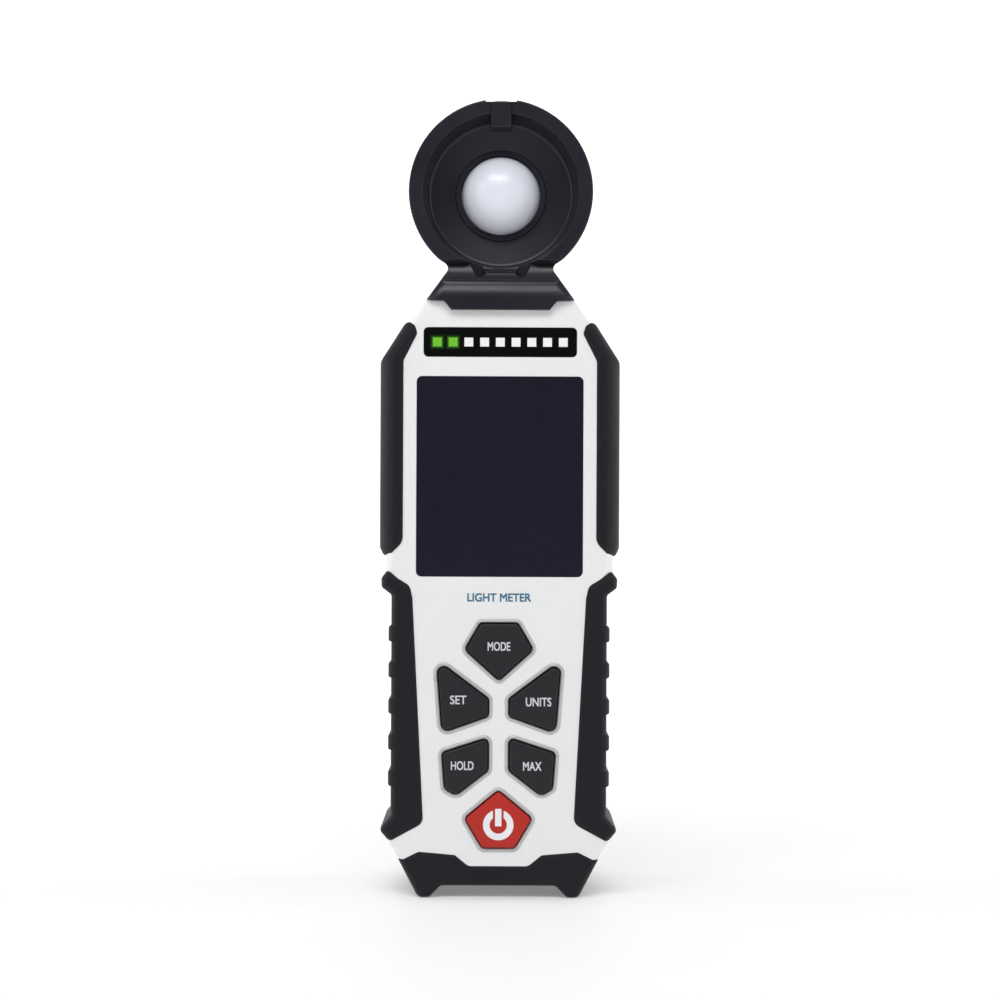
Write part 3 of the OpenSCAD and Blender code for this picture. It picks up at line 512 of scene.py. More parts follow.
WHITE = moulded("white_case", (0.87, 0.873, 0.873), 0.42, grain=0.25, tint=0.012, subsurface=0.03)
RUBBER = moulded("black_rubber", (0.0075, 0.0082, 0.0112), 0.55, grain_mm=0.22, grain=0.2, specular=0.25)
HEAD = moulded("head_black", (0.0160, 0.0168, 0.0235), 0.33, grain_mm=0.25, grain=0.1, specular=0.34)
COLLAR = moulded("collar_black", (0.018, 0.019, 0.031), 0.4, specular=0.3)
DOME = moulded("dome_white", (0.80, 0.81, 0.90), 0.24, grain=0.03, tint=0.01, subsurface=0.1)
WINDOW_DARK = moulded("window_dark", (0.0150, 0.0130, 0.025), 0.2,
                      grain=0.01, spread=0.02, specular=0.12)
STRIP_BLACK = moulded("strip_black", (0.0035, 0.0035, 0.004), 0.25,
                      grain=0.02, spread=0.02, specular=0.12)


def light_bleed(material, lamps, color, strength):
    """Light that leaks into the strip round each lit lamp; lamps are places (x, z) in the node's mesh."""
    lamp_edge, dark_again = 1.2 * MM, 2.2 * MM
    n = Nodes.of(material)
    split = n.add("ShaderNodeSeparateXYZ")
    n.link(n.place, split.inputs[0])
    total = None
    for x, z in lamps:
        away = [n.maths("ABSOLUTE", n.maths("SUBTRACT", split.outputs[axis], at * MM))
                for axis, at in (("X", x), ("Z", z))]
        near = n.between(n.maths("MAXIMUM", *away), 1, 0, lamp_edge, dark_again)
        near = n.maths("POWER", near, 2.0)
        total = near if total is None else n.maths("ADD", total, near)
    n.shader.inputs["Emission Color"].default_value = (*color, 1)
    n.link(n.maths("MULTIPLY", total, strength), n.shader.inputs["Emission Strength"])


def lit_places():
    """The middle of the first and last lit lamp, in the strip's own mesh coordinates."""
    to_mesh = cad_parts["lamp_strip"].matrix_world.inverted()
    half = (span("lamps_lit", Z)[1] - span("lamps_lit", Z)[0]) / 2
    low, high = span("lamps_lit", X)
    places = [to_mesh @ (Vector((x, 0, middle("lamps_lit", Z))) * MM) for x in (low + half, high - half)]
    return [(p.x / MM, p.z / MM) for p in places]


def metal_ends(material, color):
    """Bare metal on the faces that look along Z, such as the ends of upright battery cells."""
    n = Nodes.of(material)
    split = n.add("ShaderNodeSeparateXYZ")
    n.link(n.add("ShaderNodeTexCoord").outputs["Normal"], split.inputs[0])
    end = n.between(n.maths("ABSOLUTE", split.outputs["Z"]), 0, 1, 0.65, 0.75)
    base = n.shader.inputs["Base Color"]
    mix = n.add("ShaderNodeMix", data_type="RGBA")
    mix.inputs["B"].default_value = (*color, 1)
    n.link(end, mix.inputs["Factor"])
    n.link(base.links[0].from_socket, mix.inputs["A"])
    n.link(mix.outputs["Result"], base)
    n.link(end, n.shader.inputs["Metallic"])


light_bleed(STRIP_BLACK, lit_places(), (0.10, 0.45, 0.03), 0.35)
LAMP_GREEN = glowing("lamp_green", (0.11, 0.37, 0.02), 0.45)
LAMP_WHITE = moulded("lamp_white", (0.93, 0.93, 0.93), 0.35, grain=0.1, tint=0.01)
BAFFLE = moulded("baffle_black", (0.02, 0.02, 0.02), 0.6)
KEY_GREY = moulded("key_grey", (0.0155, 0.0165, 0.019), 0.5,
                   grain_mm=0.3, grain=0.25, tint=0.04, specular=0.28)
KEY_RED = moulded("key_red", (0.485, 0.027, 0.018), 0.45,
                  grain_mm=0.3, grain=0.2, tint=0.04, specular=0.25)
# Painted shade: the grey of the rings round the keys stands in for the shade in the recess round each key.
BEZEL_PAINTED_SHADE = moulded("key_bezel_painted_shade", (0.53, 0.54, 0.55), 0.3, grain=0.08, metal=0.2, tint=0.02)
SILICONE = moulded("silicone_grey", (0.045, 0.045, 0.05), 0.6)
CARBON = moulded("carbon", (0.012, 0.012, 0.012), 0.7)
GOLD = moulded("pad_gold", (0.78, 0.55, 0.2), 0.3, metal=1.0)
FOAM = moulded("gasket_grey", (0.07, 0.07, 0.075), 0.85, grain_mm=0.5, grain=0.8)
PANEL = moulded("panel_glass", (0.05, 0.07, 0.06), 0.1, grain=0.01)
STEEL = moulded("spring_steel", (0.60, 0.60, 0.61), 0.3, grain=0.08, metal=1.0)
RIBBON = moulded("ribbon_amber", (0.5, 0.2, 0.03), 0.35)
SOLDER_MASK = moulded("board_green", (0.012, 0.11, 0.04), 0.35, grain_mm=0.6)
CHIP = moulded("chip_black", (0.02, 0.02, 0.02), 0.55)
CERAMIC = moulded("passive_tan", (0.35, 0.24, 0.13), 0.5)
IVORY = moulded("connector_ivory", (0.68, 0.62, 0.5), 0.5)
FILTER = moulded("filter_green", (0.08, 0.3, 0.14), 0.1, grain=0.01)
CAN = moulded("diode_metal", (0.65, 0.62, 0.55), 0.2, metal=1.0)
LED_RESIN = moulded("led_yellow", (0.7, 0.62, 0.2), 0.3)
SLEEVE = moulded("cell_jacket", (0.05, 0.13, 0.28), 0.25, grain=0.03, coat=0.4)
metal_ends(SLEEVE, (0.6, 0.6, 0.61))
WIRE = moulded("wire_red", (0.42, 0.02, 0.02), 0.4)
CABLE = moulded("cable_grey", (0.2, 0.2, 0.21), 0.45)
BRASS = moulded("socket_brass", (0.68, 0.47, 0.18), 0.28, grain=0.06, metal=1.0)
INK = moulded("legend_ink", (0.66, 0.66, 0.71), 0.55, grain=0.1)
SYMBOL_INK = moulded("symbol_ink", (0.86, 0.86, 0.89), 0.5, grain=0.1)
NAME_INK = moulded("name_ink", (0.035, 0.17, 0.27), 0.5, grain=0.1)

# ---------------------------------------------------------------- white case


def core():
    """The stepped-in case under the rubber, as a cutter."""
    rubber_at_back = 1.8
    front, back = FACE_Y + STEP_DEPTH, RUBBER_BACK_Y - rubber_at_back
    return slope_back(pillow("cutter", STEP, front, back, (4, 5), (6.5, 8)))


INLAY_DEPTH = 1.2
STRIP_DEPTH = 1


def neck_recess():
    """Cutters for the hole that the neck goes down into, and for its tongue on the face."""
    half_width, front_y, back_y, depth = 18.65, -12.75, 8.75, 6
    return [
        block(-half_width, half_width, front_y, back_y, NECK_Z - depth, NECK_Z + 3),
        slab(grow(TONGUE, FIT), FACE_Y - THROUGH, FACE_Y + INLAY_DEPTH),
    ]


CASE_EDGE = 0.22


def case_edges(side, shoulder, low):
    """Rounding for each edge of the case outline, right half then left half."""
    half = [low, low, low, side, side, side, shoulder, shoulder]
    return half + [(0.6, 0.6)] + half[::-1] + [low]


def front_case():
    edges = case_edges(side=(2.6, 4), shoulder=(1.8, 2), low=(1.5, 2))
    solid = pillow("front_case_shell", CASE, FACE_Y, PARTING_Y, edges)
    cavity = pillow("cutter", grow(STEP, -2), FACE_Y + WALL, PARTING_Y + THROUGH, (3, 4))
    panel_hole = box_outline(19.9, 93.6, 144, 1)
    lamp_hole = box_outline(20.2, 153.9, 159.5, 0.5)
    inside_y = FACE_Y + WALL + THROUGH
    holes = [
        slab(grow(WINDOW, FIT), FACE_Y - THROUGH, FACE_Y + INLAY_DEPTH),
        slab(panel_hole, FACE_Y, inside_y),
        slab(grow(STRIP, FIT), FACE_Y - THROUGH, FACE_Y + STRIP_DEPTH),
        slab(lamp_hole, FACE_Y, inside_y),
    ]
    holes += [slab(grow(corners, KEY_GAP), FACE_Y - THROUGH, inside_y) for corners in KEYS.values()]
    cut(solid, cavity, *holes, *neck_recess())
    finish_edges(solid, CASE_EDGE)
    return show(solid, WHITE, replaces=("front_case",))


def screw_places(node):
    """The middle (x, z) of each screw in a CAD node of screws."""
    screws, same_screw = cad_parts[node], 6
    points = np.array([tuple(screws.matrix_world @ v.co) for v in screws.data.vertices])
    points = points[:, [X, Z]] / MM
    spots = []
    while len(points):
        near = np.hypot(*(points - points[0]).T) < same_screw
        spots.append(tuple((points[near].min(0) + points[near].max(0)) / 2))
        points = points[~near]
    return spots


SCREW_BORE_R, SCREW_SEAT_Y = 2.85, 9


def battery_tray():
    """Half the width of the hollow for the cells, its range in Z, and the walls round it."""
    wall = 1.6
    x1 = DOOR_HW - 0.7
    y0, y1 = CELL_FRONT_Y - 0.35, CASE_BACK_Y - 1
    z0, z1 = CELL_Z[0] - 0.6, CELL_Z[1] + 0.4
    outside = block(-x1 - wall, x1 + wall, y0 - wall, CASE_BACK_Y - WALL + 0.4, z0 - wall, z1 + wall)
    return x1, (z0, z1), cut(outside, block(-x1, x1, y0, y1, z0, z1))


def screw_sleeve(x, z):
    """A hollow post for a case screw, wide for its head at the back and narrow in front."""
    post_r, pilot_r, shoulder_y = 3.4, 1.45, 10
    post = rod(x, z, post_r, PARTING_Y, CASE_BACK_Y - 2)
    bore = rod(x, z, SCREW_BORE_R, SCREW_SEAT_Y, CASE_BACK_Y)
    return cut(post, bore, rod(x, z, pilot_r, PARTING_Y - THROUGH, shoulder_y))


def rear_case():
    edges = case_edges(side=(5.5, 7), shoulder=(4, 5), low=(3, 4))
    solid = slope_back(pillow("rear_case_shell", CASE, PARTING_Y, CASE_BACK_Y, back=edges))
    cavity = pillow("cutter", grow(STEP, -2), PARTING_Y - THROUGH, CASE_BACK_Y - WALL, back=(5, 6))
    slope_back(cavity)
    tray_x, tray_z, walls = battery_tray()
    outside_y = CASE_BACK_Y + THROUGH
    door_gap, door_hw = 0.2, DOOR_HW + 0.2
    door_outline = both_halves([(door_hw, DOOR_Z[0] - door_gap, 0), (door_hw, DOOR_Z[1] + door_gap, 3)])
    door_pocket = slab(door_outline, DOOR_Y - 0.1, outside_y)
    opening = block(-tray_x, tray_x, 10, outside_y, *tray_z)
    latch_hw, latch_room = 6.3, 1.9
    latch_pocket = block(-latch_hw, latch_hw, DOOR_Y - latch_room, DOOR_Y,
                         tray_z[1] - 0.4, DOOR_Z[1] + door_gap)
    screws = screw_places("case_screws")
    bores = [rod(x, z, SCREW_BORE_R, SCREW_SEAT_Y, CASE_BACK_Y + 3) for x, z in screws]
    socket_r, socket_y = 5.02, 8.4
    socket = rod(0, SOCKET_Z, socket_r, socket_y, outside_y)
    cut(solid, cavity, door_pocket, opening, latch_pocket, socket, *bores, *neck_recess())
    sleeves = [screw_sleeve(x, z) for x, z in screws]
    joined(solid, walls, *sleeves)
    finish_edges(solid, CASE_EDGE)
    return show(solid, WHITE, replaces=("rear_case",))

# ---------------------------------------------------------------- rubber


def rubber_piece(name, node, *parts):
    for part in parts:
        slope_back(part)
        cut(part, core())
    solid = joined(*parts) if len(parts) > 1 else parts[0]
    solid.name = name
    smooth_by_angle(solid, 50)
    return show(solid, RUBBER, replaces=(node,))


def upper_grips():
    inner = (1.0, 0.9)
    outer_front, diagonal_front = (4.8, 7), (3.2, 5)
    outer_back, diagonal_back = (4.4, 8), (3.2, 6)
    front = [inner, outer_front, outer_front, diagonal_front, inner, inner, inner]
    back = [inner, outer_back, outer_back, diagonal_back, inner, inner, inner]
    solid = pillow("upper", UPPER_GRIP, RUBBER_FRONT_Y, GRIP_BACK_Y, front, back)
    right = rubber_piece("grip_upper_right_cover", "grip_upper_right", solid)
    left = mirrored(right, "grip_upper_left_cover")
    show(left, RUBBER, replaces=("grip_upper_left",))


GRIP_TURN_Y = 10   # behind this the lower grips reach less far over the case
RIB_COUNT, RIB_PITCH, RIB_Z, RIB_HALF = 5, 10.2, 33.6, 2.25


def finger_rib(z):
    """One rib that wraps round the grip's side and fades out on the front."""
    lower, upper, buried = (0.3, 0.4), (0.9, 1.2), (0, 0)
    side_front, side_back = (2.3, 2.8), (2.8, 3.6)
    root_x, crest_x, z0, z1 = 26.2, 31.3, z - RIB_HALF, z + RIB_HALF
    corners = [(root_x, z0, 0), (crest_x, z0, 0.5), (crest_x, z1, 0.9), (root_x, z1, 0)]
    return pillow("rib", corners, RUBBER_FRONT_Y + 0.1, RUBBER_BACK_Y - 0.5,
                  [lower, side_front, upper, buried], [lower, side_back, upper, buried])


def lower_grips():
    round_front, round_back, inner, foot = (1.9, 2.6), (2.4, 3.6), (1.0, 0.9), (1.2, 1)
    top_front, top_back = (2.4, 1.6), (1.7, 1.5)
    front_edges = [foot] + [round_front] * 6 + [top_front, inner, inner]
    back_edges = [foot] + [round_back] * 6 + [top_back, inner, inner]
    front = pillow("front", LOWER_GRIP, RUBBER_FRONT_Y, GRIP_TURN_Y, front_edges)
    rear = pillow("rear", LOWER_GRIP_BACK, GRIP_TURN_Y, RUBBER_BACK_Y, back=back_edges)
    ribs = [finger_rib(RIB_Z + i * RIB_PITCH) for i in range(RIB_COUNT)]
    right = rubber_piece("grip_lower_right_cover", "grip_lower_right", front, rear, *ribs)
    left = mirrored(right, "grip_lower_left_cover")
    show(left, RUBBER, replaces=("grip_lower_left",))


def base_bumper():
    foot, side, top = (1.2, 2), (2, 3), (3.2, 1.5)
    half = [foot, foot, side, top, top, top]
    edges = half + [top] + half[::-1] + [foot]
    solid = pillow("base", BUMPER, RUBBER_FRONT_Y, RUBBER_BACK_Y, edges, edges)
    rubber_piece("base_bumper_cover", "base_bumper", solid)

# ---------------------------------------------------------------- head

CIRCLE_STEPS = 84
WAIST = (14.5, 177.6, 1.4)
NECK_FOOT_HW = 21
HOOD_DRAFT = 0.13    # the hood narrows by this much per mm towards its back
RIM_ROUND, NECK_ROUND, BACK_ROUND = (0.55, 0.55), (2.2, 3), (1.6, 3)
BOWL_R, SEAT_R, FLOOR_Y, SEAT_Y = 22, 12.9, -9.2, -6.6
# The two rolls across the neck: crest_y, crest_z, radius, and the angles their upper faces span
ROLLS = [(-18.2, 168.4, 9, 0, 34), (RIM_Y + 0.9, 174.4, 7.2, 12, 38)]
CUT_HW, CUT_FRONT_Y = 40, -30    # cutters reach this far past the head


def keyhole():
    """The hood's circle with the flared neck and its front tongue, as one outline."""
    start = math.radians(-47)   # where the circle leaves the waist
    arc = [start + (math.pi - 2 * start) * k / CIRCLE_STEPS for k in range(CIRCLE_STEPS + 1)]
    circle = [(HOOD_R * math.cos(a), HOOD_Z + HOOD_R * math.sin(a), 0) for a in arc]
    neck = [(13.9, 165.8, 0.5), (16.2, NECK_Z, 0.3), (NECK_FOOT_HW, NECK_Z, 0.2), WAIST]
    return neck + circle + flip(neck)


def head_blank():
    """The keyhole outline from rim to back. The hood narrows towards its back, the neck doesn't."""
    corners = keyhole()
    levels = {RIM_Y + d for d in depth_levels([RIM_ROUND, NECK_ROUND])}
    levels |= {HEAD_BACK_Y - d for d in depth_levels([BACK_ROUND])} | {-12, -6, 0, 10.5}
    rings = []
    for y in sorted(levels):
        depth = y - RIM_Y
        neck = edge_insets([NECK_ROUND], depth)[0]
        rim = edge_insets([RIM_ROUND], depth)[0]
        hood = rim - HOOD_DRAFT * depth + edge_insets([BACK_ROUND], max(0, HEAD_BACK_Y - y))[0]
        insets = [0, 0, neck] + [hood] * (CIRCLE_STEPS + 2) + [neck, 0, 0, 0]
        rings.append([(p[0], y, p[1]) for p in rounded(grow(corners, insets))])
    return lofted("head_shell", rings)


def roll_face(crest_y, crest_z, r, from_deg, to_deg):
    """The rounded upper face of a roll across the neck, between two angles up from its crest."""
    angles = [math.radians(from_deg + (to_deg - from_deg) * k / 10) for k in range(11)]
    return [(crest_y + r - r * math.cos(a), crest_z + r * math.sin(a), 0) for a in angles]


TONGUE_CUT_Z, RIM_CUT_Z = 163, 182


def neck_face():
    """The profile in front of the neck, from a flat tongue up over two soft rolls to the rim."""
    lower, upper = ROLLS
    clear_y, groove = RIM_Y - 0.02, (-16.5, 174.3, 0.6)
    return ([(lower[0], TONGUE_CUT_Z, 0)] + roll_face(*lower) + [groove]
            + roll_face(*upper) + [(clear_y, 179.7, 0.3), (clear_y, RIM_CUT_Z, 0)])


def neck_front():
    """What is taken off in front of the neck."""
    ahead = [(CUT_FRONT_Y, RIM_CUT_Z, 0), (CUT_FRONT_Y, TONGUE_CUT_Z, 0)]
    return bar_along_x(neck_face() + ahead, -CUT_HW, CUT_HW)


def roll_end(x, z):
    """How far the rolls have fallen back at x, where they round off towards the neck's sides."""
    both_rolls = [168, 175]
    reach, drop = np.interp(z, both_rolls, [4.6, 2]), np.interp(z, both_rolls, [2.2, 1.1])
    side = np.interp(z, [NECK_Z, WAIST[1]], [NECK_FOOT_HW, WAIST[0]])
    out = 1 - min(max(side - abs(x), 0), reach) / reach
    return drop * (1 - math.sqrt(1 - out * out)) * np.interp(z, [174.8, 176.8], [1, 0])


def roll_ends():
    """What the rounding takes off the ends of the rolls. It stays just clear of the rolls elsewhere."""
    top_z, clearance = 177, 0.02
    face = [(y, z) for y, z in rounded(neck_face()) if z < top_z]
    ahead = [(CUT_FRONT_Y, face[-1][1]), (CUT_FRONT_Y, face[0][1])]
    right = [k / 2 for k in range(18, 45)] + [CUT_HW]
    left = [-CUT_HW] + [k / 2 for k in range(-44, -17)]
    return lofted("cutter", [
        [(x, y + roll_end(x, z) - clearance, z) for y, z in face] + [(x, y, z) for y, z in ahead]
        for x in left + right])


def neck_back():
    """What is taken off behind the neck, so that it slopes out to the hood's back."""
    neck_y, behind_y, below_z, above_z = 10.5, 15, 160, 240
    return bar_along_x([
        (behind_y, below_z, 0), (behind_y, above_z, 0), (HEAD_BACK_Y, above_z, 0),
        (HEAD_BACK_Y, 182, 4), (neck_y, NECK_Z, 0), (neck_y, below_z, 0),
    ], -CUT_HW, CUT_HW)


def bowl():
    """The hood's hollow: a rounded lip, a tapered wall, a sloping floor and the seat round the dome."""
    return turned("cutter", [
        (BOWL_R + 0.6, RIM_Y - THROUGH), (BOWL_R + 0.3, RIM_Y),
        (BOWL_R + 0.05, RIM_Y + 0.12), (BOWL_R - 0.05, RIM_Y + 0.35),
        (20.65, -12), (20.55, -11.35), (20.35, -11), (20, -10.8), (19.5, -10.65),
        (SEAT_R + 0.3, FLOOR_Y - 0.1), (SEAT_R, FLOOR_Y + 0.1), (SEAT_R, SEAT_Y), (0.01, SEAT_Y),
    ], steps=128)


def cap_catch():
    """The funnel at the rim's foot that a clip-on cap hooks into, with its ledge and two deep slots."""
    before_y, slot_y = RIM_Y - THROUGH, RIM_Y + 3.2
    funnel = slab(both_halves([(4.1, 175.9, 0.2), (8.2, 182, 0), (9, 186, 0)]), before_y, RIM_Y + 1.5)
    ledge_z0, ledge_z1, ledge_hw = 174.8, 175.95, 4.2
    ledge = bar_along_x([
        (before_y, ledge_z0, 0), (RIM_Y + 0.9, ledge_z0, 0),
        (RIM_Y + 1.5, ledge_z1, 0), (before_y, ledge_z1, 0),
    ], -ledge_hw, ledge_hw)
    slot = [(4.1, 175.9, 0.3), (5.3, 175, 0.3), (7, 175.2, 0.5),
            (8.3, 177.7, 0.5), (8.55, 179.6, 0.3), (5.8, 179.4, 0.3)]
    return [funnel, ledge, slab(slot, before_y, slot_y), slab(flip(slot), before_y, slot_y)]


def head():
    solid = head_blank()
    before_y, above_z = RIM_Y - THROUGH, HEAD_TOP_Z + 2
    under = block(-CUT_HW, CUT_HW, FACE_Y + 1.1, 20, 150, NECK_Z)
    rib_pocket = block(-3.1, 3.1, before_y, RIM_Y + 0.6, 215, above_z)
    lip_notch = block(-4.4, 4.4, before_y, RIM_Y + 2.5, HEAD_TOP_Z - 0.95, above_z)
    return cut(solid, neck_front(), roll_ends(), neck_back(), under, bowl(), lip_notch, rib_pocket,
               *cap_catch())


def split_head():
    """The head as a front and a rear shell. A small tab stands in the front's rim."""
    solid = head()
    rear = solid.copy()
    rear.data = solid.data.copy()
    bpy.context.scene.collection.objects.link(rear)
    solid.name, rear.name = "hood_front_shell", "hood_rear_shell"
    below_z, above_z = 150, 240
    cut(solid, block(-CUT_HW, CUT_HW, HEAD_SPLIT_Y, 30, below_z, above_z))
    bore_r, bore_depth = 1.9, 1.6
    bores = [rod(x, z, bore_r, HEAD_BACK_Y - bore_depth, HEAD_BACK_Y + THROUGH)
             for x, z in screw_places("head_screws")]
    cut(rear, block(-CUT_HW, CUT_HW, RIM_Y - 5, HEAD_SPLIT_Y, below_z, above_z), *bores)
    tab = pillow("tab", box_outline(2.85, 217, HEAD_TOP_Z - 1, 0.2), RIM_Y + 0.1, -11, (0.25, 0.25))
    joined(solid, tab)
    edge, edge_steps = 0.4, 3
    finish_edges(solid, edge, edge_steps)
    finish_edges(rear, edge, edge_steps)
    show(solid, HEAD, replaces=("head_front_shell",))
    show(rear, HEAD, replaces=("head_rear_shell",))


def arc_profile(r, y, from_deg, to_deg, steps=28):
    """Points (radius, y) of a ball's profile about a centre at y."""
    angles = [math.radians(from_deg + (to_deg - from_deg) * k / steps) for k in range(steps + 1)]
    return [(max(0.001, r * math.cos(a)), y - r * math.sin(a)) for a in angles]


def dome():
    """The opal diffuser: a half ball on a short flange."""
    wall = 1.2
    r, y = 11.1, span("sensor_dome", Y)[1] - wall
    flange_r, inner_r = 12.2, r - wall
    profile = arc_profile(r, y, 90, 0) + [(r, y + 0.02), (flange_r, y + 0.02), (flange_r, y + wall)]
    profile += [(inner_r, y + wall), (inner_r, y)] + arc_profile(inner_r, y, 0, 90)
    solid = turned("dome_shell", profile, steps=128)
    smooth_by_angle(solid, 40)
    return show(solid, DOME, replaces=("sensor_dome",))


def collar():
    """The dark ring round the dome, with a wide inner and a narrow outer rounding."""
    y0, y1 = span("dome_collar", Y)
    edge, lip = 0.45, 0.2
    outer, inner = 12.85, 11.25
    curve = [math.pi / 2 * k / 6 for k in range(7)]
    profile = [(inner, y1), (inner, y0 + edge)]
    profile += [(inner + edge * (1 - math.cos(a)), y0 + edge * (1 - math.sin(a))) for a in curve]
    profile += [(outer - lip * (1 - math.sin(a)), y0 + lip * (1 - math.cos(a))) for a in curve]
    profile += [(outer, y1)]
    angles = [2 * math.pi * k / 128 for k in range(128)]
    rings = [[(r * math.cos(a), y, HOOD_Z + r * math.sin(a)) for a in angles] for r, y in profile]
    solid = lofted("collar_ring", rings, closed=True)
    smooth_by_angle(solid, 40)
    return show(solid, COLLAR, replaces=("dome_collar",))

# ---------------------------------------------------------------- keys and legends

KEY_TOP_Y = span("key_mode", Y)[0]
KEY_FOOT_Y = span("key_mode", Y)[1]
WEB_SPREAD, WEB_WALL = 1.1, 0.4


def key(name, corners):
    """A keytop with softly rounded edges."""
    solid = pillow(f"{name}_keytop", corners, KEY_TOP_Y, KEY_FOOT_Y, (0.85, 0.6))
    smooth_by_angle(solid, 40)
    finish_edges(solid, 0)
    material, slot = (KEY_RED, "key_red") if name == "power" else (KEY_GREY, "key_grey")
    show(solid, material, f"{name}_button", (f"key_{name}",))


def bezel(name, corners):
    """A raised ring round a key's hole, coloured grey to paint in the shade of the recess round the key.
    """
    profile = [(0.36, 1.0), (0.36, -0.05), (0.42, -0.22), (0.58, -0.36), (0.8, -0.42), (1.02, -0.38),
               (1.24, -0.24), (1.38, -0.05), (1.42, 0.12), (1.3, 0.3), (0.6, 1.0)]
    rings = [[(p[0], FACE_Y + deep, p[1]) for p in rounded(grow(corners, out))] for out, deep in profile]
    solid = lofted(f"{name}_bezel", rings, closed=True)
    smooth_by_angle(solid, 50)
    show(solid, BEZEL_PAINTED_SHADE)


def web(name, corners):
    """The thin silicone wall under a key."""
    top_y, foot_y = span("key_skirts", Y)
    profile = [(WEB_SPREAD, foot_y), (0, top_y), (-WEB_WALL, top_y), (WEB_SPREAD - WEB_WALL, foot_y)]
    rings = [[(p[0], y, p[1]) for p in rounded(grow(corners, out))] for out, y in profile]
    solid = lofted(f"{name}_web", rings, closed=True)
    smooth_by_angle(solid, 40)
    show(solid, SILICONE, replaces=("key_skirts",))
    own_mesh(solid)


def written(name, words, x, z, width, height, y, body, material, bold=0.05):
    """Raised plain lettering on a face at y, fitted to a width and a height, thickened by bold all round.

    The thicker strokes are four shifted copies, each at a slightly different height above the face.
    """
    raised, step, sunk = 0.03, 0.01, 0.02
    curve = bpy.data.curves.new(name, "FONT")
    curve.body = words
    curve.align_x, curve.align_y = "CENTER", "CENTER"
    curve.extrude = 0.01
    source = bpy.data.objects.new(name, curve)
    bpy.context.scene.collection.objects.link(source)
    graph = bpy.context.evaluated_depsgraph_get()
    mesh = bpy.data.meshes.new_from_object(source.evaluated_get(graph), depsgraph=graph)
    bpy.data.objects.remove(source)
    points = np.array([v.co for v in mesh.vertices])
    low, high = points.min(0), points.max(0)
    centre = (low + high) / 2
    across, up = (width - 2 * bold) / (high[0] - low[0]), (height - 2 * bold) / (high[1] - low[1])
    work = bmesh.new()
    for layer, (dx, dz) in enumerate(((-bold, -bold), (bold, -bold), (bold, bold), (-bold, bold))):
        for v, p in zip(mesh.vertices, points):
            out = raised + step * layer if p[2] > 0 else -sunk
            v.co = MM * Vector((x + dx + (p[0] - centre[0]) * across, y - out,
                                z + dz + (p[1] - centre[1]) * up))
        work.from_mesh(mesh)
    work.to_mesh(mesh)
    work.free()
    made = bpy.data.objects.new(name, mesh)
    bpy.context.scene.collection.objects.link(made)
    smooth_by_angle(made, 20)
    show(made, material, body)


# Each key's wording, its middle (x, z) and its width
LEGENDS = {
    "mode": ("MODE", 0, 71.0, 6.4),
    "set": ("SET", -11.4, 55.9, 4.6),
    "units": ("UNITS", 11.2, 55.4, 7.2),
    "hold": ("HOLD", -10.2, 37.4, 6.4),
    "max": ("MAX", 9.5, 37.3, 5.2),
}
LEGEND_HEIGHT = 2.5


def power_symbol():
    """A ring, open at the top, and a bar through the gap."""
    z, inner, outer, half_gap, steps = 20.75, 2.43, 4.3, 1.5, 48

    def arc(r):
        gap = math.asin(half_gap / r)
        angles = [math.pi / 2 + gap + (2 * math.pi - 2 * gap) * k / steps for k in range(steps + 1)]
        return [(r * math.cos(a), z + r * math.sin(a), 0) for a in angles]

    ring, bar = arc(inner) + arc(outer)[::-1], box_outline(0.9, 20.4, 25.3, 0.15)
    top, bottom = KEY_TOP_Y - 0.04, KEY_TOP_Y + 0.1
    symbol = joined(slab(ring, top, bottom), slab(bar, top, bottom))
    symbol.name = "power_symbol"
    smooth_by_angle(symbol, 30)
    show(symbol, SYMBOL_INK, "power_button")


def keys():
    for name, corners in KEYS.items():
        key(name, corners)
        bezel(name, corners)
        web(name, corners)
    for name, (words, x, z, width) in LEGENDS.items():
        written(f"{name}_legend", words, x, z, width, LEGEND_HEIGHT, KEY_TOP_Y, f"{name}_button", INK)
    power_symbol()
    written("case_name", "LIGHT METER", 0, 84.7, 18, 2.4, FACE_Y, "meter", NAME_INK, 0.08)

# ---------------------------------------------------------------- CAD nodes that stay

KEPT = {
    "display_window": WINDOW_DARK, "lamp_strip": STRIP_BLACK, "lamps_lit": LAMP_GREEN,
    "lamps_unlit": LAMP_WHITE, "lamp_baffle": BAFFLE, "lamp_leds": LED_RESIN, "display_gasket": FOAM,
    "display_panel": PANEL, "display_frame": STEEL, "display_ribbon": RIBBON, "case_gasket": FOAM,
    "photopic_filter": FILTER, "photodiode": CAN, "sensor_board": SOLDER_MASK, "sensor_cable": CABLE,
    "main_board": SOLDER_MASK, "board_chips": CHIP, "board_passives": CERAMIC, "board_connectors": IVORY,
    "buzzer": CHIP, "keypad_mat": SILICONE, "key_pads": GOLD, "battery_door": WHITE, "door_latch": WHITE,
    "door_pad": FOAM, "battery_cells": SLEEVE, "battery_springs": STEEL, "battery_contacts": STEEL,
    "battery_leads": WIRE, "tripod_socket": BRASS, "case_screws": STEEL, "head_screws": STEEL,
    "board_screws": STEEL,
}
KEPT.update({f"pill_{name}": CARBON for name in KEYS})
# The visible ones also get rounded edges, in mm
EDGE_WIDTHS = {"display_window": 0.15, "lamp_strip": 0.12, "battery_door": 0.25, "door_latch": 0.15,
               "tripod_socket": 0.15, "case_screws": 0.1, "head_screws": 0.1, "battery_cells": 0.3}


def dress_kept_nodes():
    for name, material in KEPT.items():
        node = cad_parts[name]
        node.data.materials.clear()
        node.data.materials.append(material)
        if name in EDGE_WIDTHS:
            finish_edges(node, EDGE_WIDTHS[name])

# ---------------------------------------------------------------- build

front_case()
rear_case()
upper_grips()
lower_grips()
base_bumper()
split_head()
dome()
collar()
keys()
dress_kept_nodes()

# ---------------------------------------------------------------- stage, lights and camera

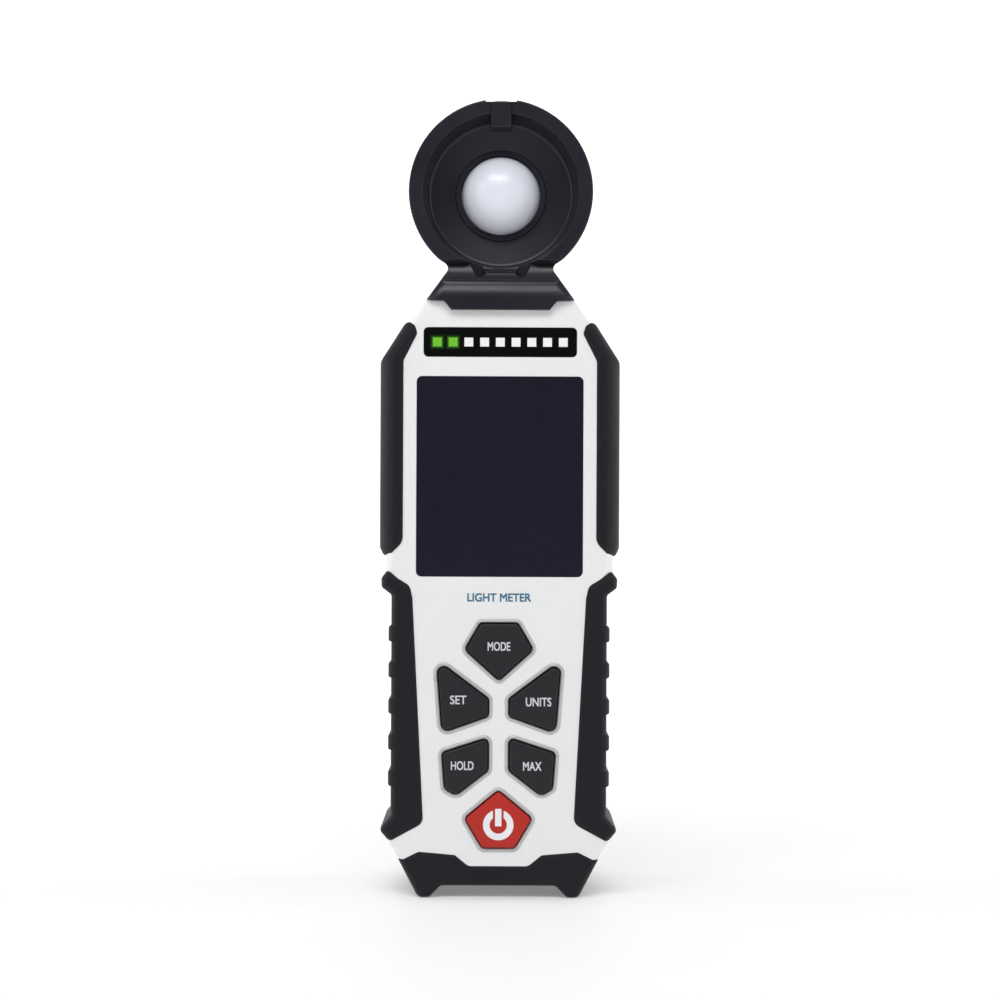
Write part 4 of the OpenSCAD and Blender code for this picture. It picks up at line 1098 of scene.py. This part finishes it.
# The camera, in metres: its distance from the case's face, the width it sees there, and its height
VIEW_DISTANCE = 0.575
VIEW_WIDTH = 0.28195
VIEW_HEIGHT = 0.1122
ROLL_DEG = 0.25


def floor_material():
    """A pale sweep that glows more the further it lies behind the meter."""
    n = Nodes("floor_white")
    n.shader.inputs["Base Color"].default_value = (0.9, 0.9, 0.9, 1)
    n.link(n.between(n.noise(30), 0.55, 0.65), n.shader.inputs["Roughness"])
    split = n.add("ShaderNodeSeparateXYZ")
    n.link(n.place, split.inputs[0])
    glow_at_meter, glow_behind, behind_y = 0.2, 0.7, 0.8
    glow = n.between(split.outputs["Y"], glow_at_meter, glow_behind, 0.0, behind_y)
    n.link(glow, n.shader.inputs["Emission Strength"])
    n.shader.inputs["Emission Color"].default_value = (1, 1, 1, 1)
    return n.material


def floor():
    """A pale sweep: flat under the meter, then curved up behind it."""
    width, front_y, bend_y, bend_r, bend_steps, top = 3.0, -1.6, 0.9, 0.5, 16, 2.0
    path = [(front_y, 0), (bend_y, 0)]
    path += [(bend_y + bend_r * math.sin(a), bend_r * (1 - math.cos(a)))
             for a in [math.pi / 2 * k / bend_steps for k in range(1, bend_steps + 1)]]
    path.append((bend_y + bend_r, top))
    vertices = [(x / MM, y / MM, z / MM) for y, z in path for x in (-width, width)]
    faces = [(2 * k, 2 * k + 1, 2 * k + 3, 2 * k + 2) for k in range(len(path) - 1)]
    made = new_object("floor_sweep", vertices, faces)
    made.data.materials.append(floor_material())


def area_light(name, place, target, size, power):
    """A rectangular light in metres and watts, turned to face its target."""
    data = bpy.data.lights.new(name, "AREA")
    data.shape = "RECTANGLE"
    data.size, data.size_y = size
    data.energy = power
    lamp = bpy.data.objects.new(name, data)
    lamp.location = place
    lamp.rotation_euler = (Vector(target) - Vector(place)).to_track_quat("-Z", "Y").to_euler()
    bpy.context.scene.collection.objects.link(lamp)


def lights():
    target, small_target = (0, 0, 0.12), (0, 0, 0.2)
    area_light("top_softbox", (-0.1, -0.55, 0.85), target, (0.8, 0.32), 4.3)
    area_light("left_softbox", (-0.8, -0.5, 0.35), target, (0.4, 0.8), 1.8)
    area_light("right_softbox", (0.8, -0.5, 0.35), target, (0.4, 0.8), 1.8)
    area_light("left_rim", (-0.6, 0.06, 0.2), target, (0.2, 0.8), 1.2)
    area_light("right_rim", (0.6, 0.06, 0.2), target, (0.2, 0.8), 1.2)
    area_light("spot_left", (-0.1, -0.62, 0.83), small_target, (0.05, 0.04), 0.22)
    area_light("spot_right", (0.33, -0.55, 0.78), small_target, (0.04, 0.03), 0.12)
    world = bpy.data.worlds.new("studio")
    bpy.context.scene.world = world
    world.use_nodes = True
    back = world.node_tree.nodes["Background"]
    back.inputs["Color"].default_value = (0.95, 0.97, 1.0, 1)
    back.inputs["Strength"].default_value = 0.12


def camera():
    data = bpy.data.cameras.new("camera")
    data.sensor_width = 36
    data.lens = data.sensor_width * VIEW_DISTANCE / VIEW_WIDTH
    data.clip_start, data.clip_end = 0.01, 20
    made = bpy.data.objects.new("camera", data)
    made.location = (0.0001, FACE_Y * MM - VIEW_DISTANCE, VIEW_HEIGHT)
    made.rotation_euler = (math.pi / 2, math.radians(-ROLL_DEG), 0)
    bpy.context.scene.collection.objects.link(made)
    bpy.context.scene.camera = made


floor()
lights()
camera()
bpy.context.scene.view_settings.view_transform = "Standard"
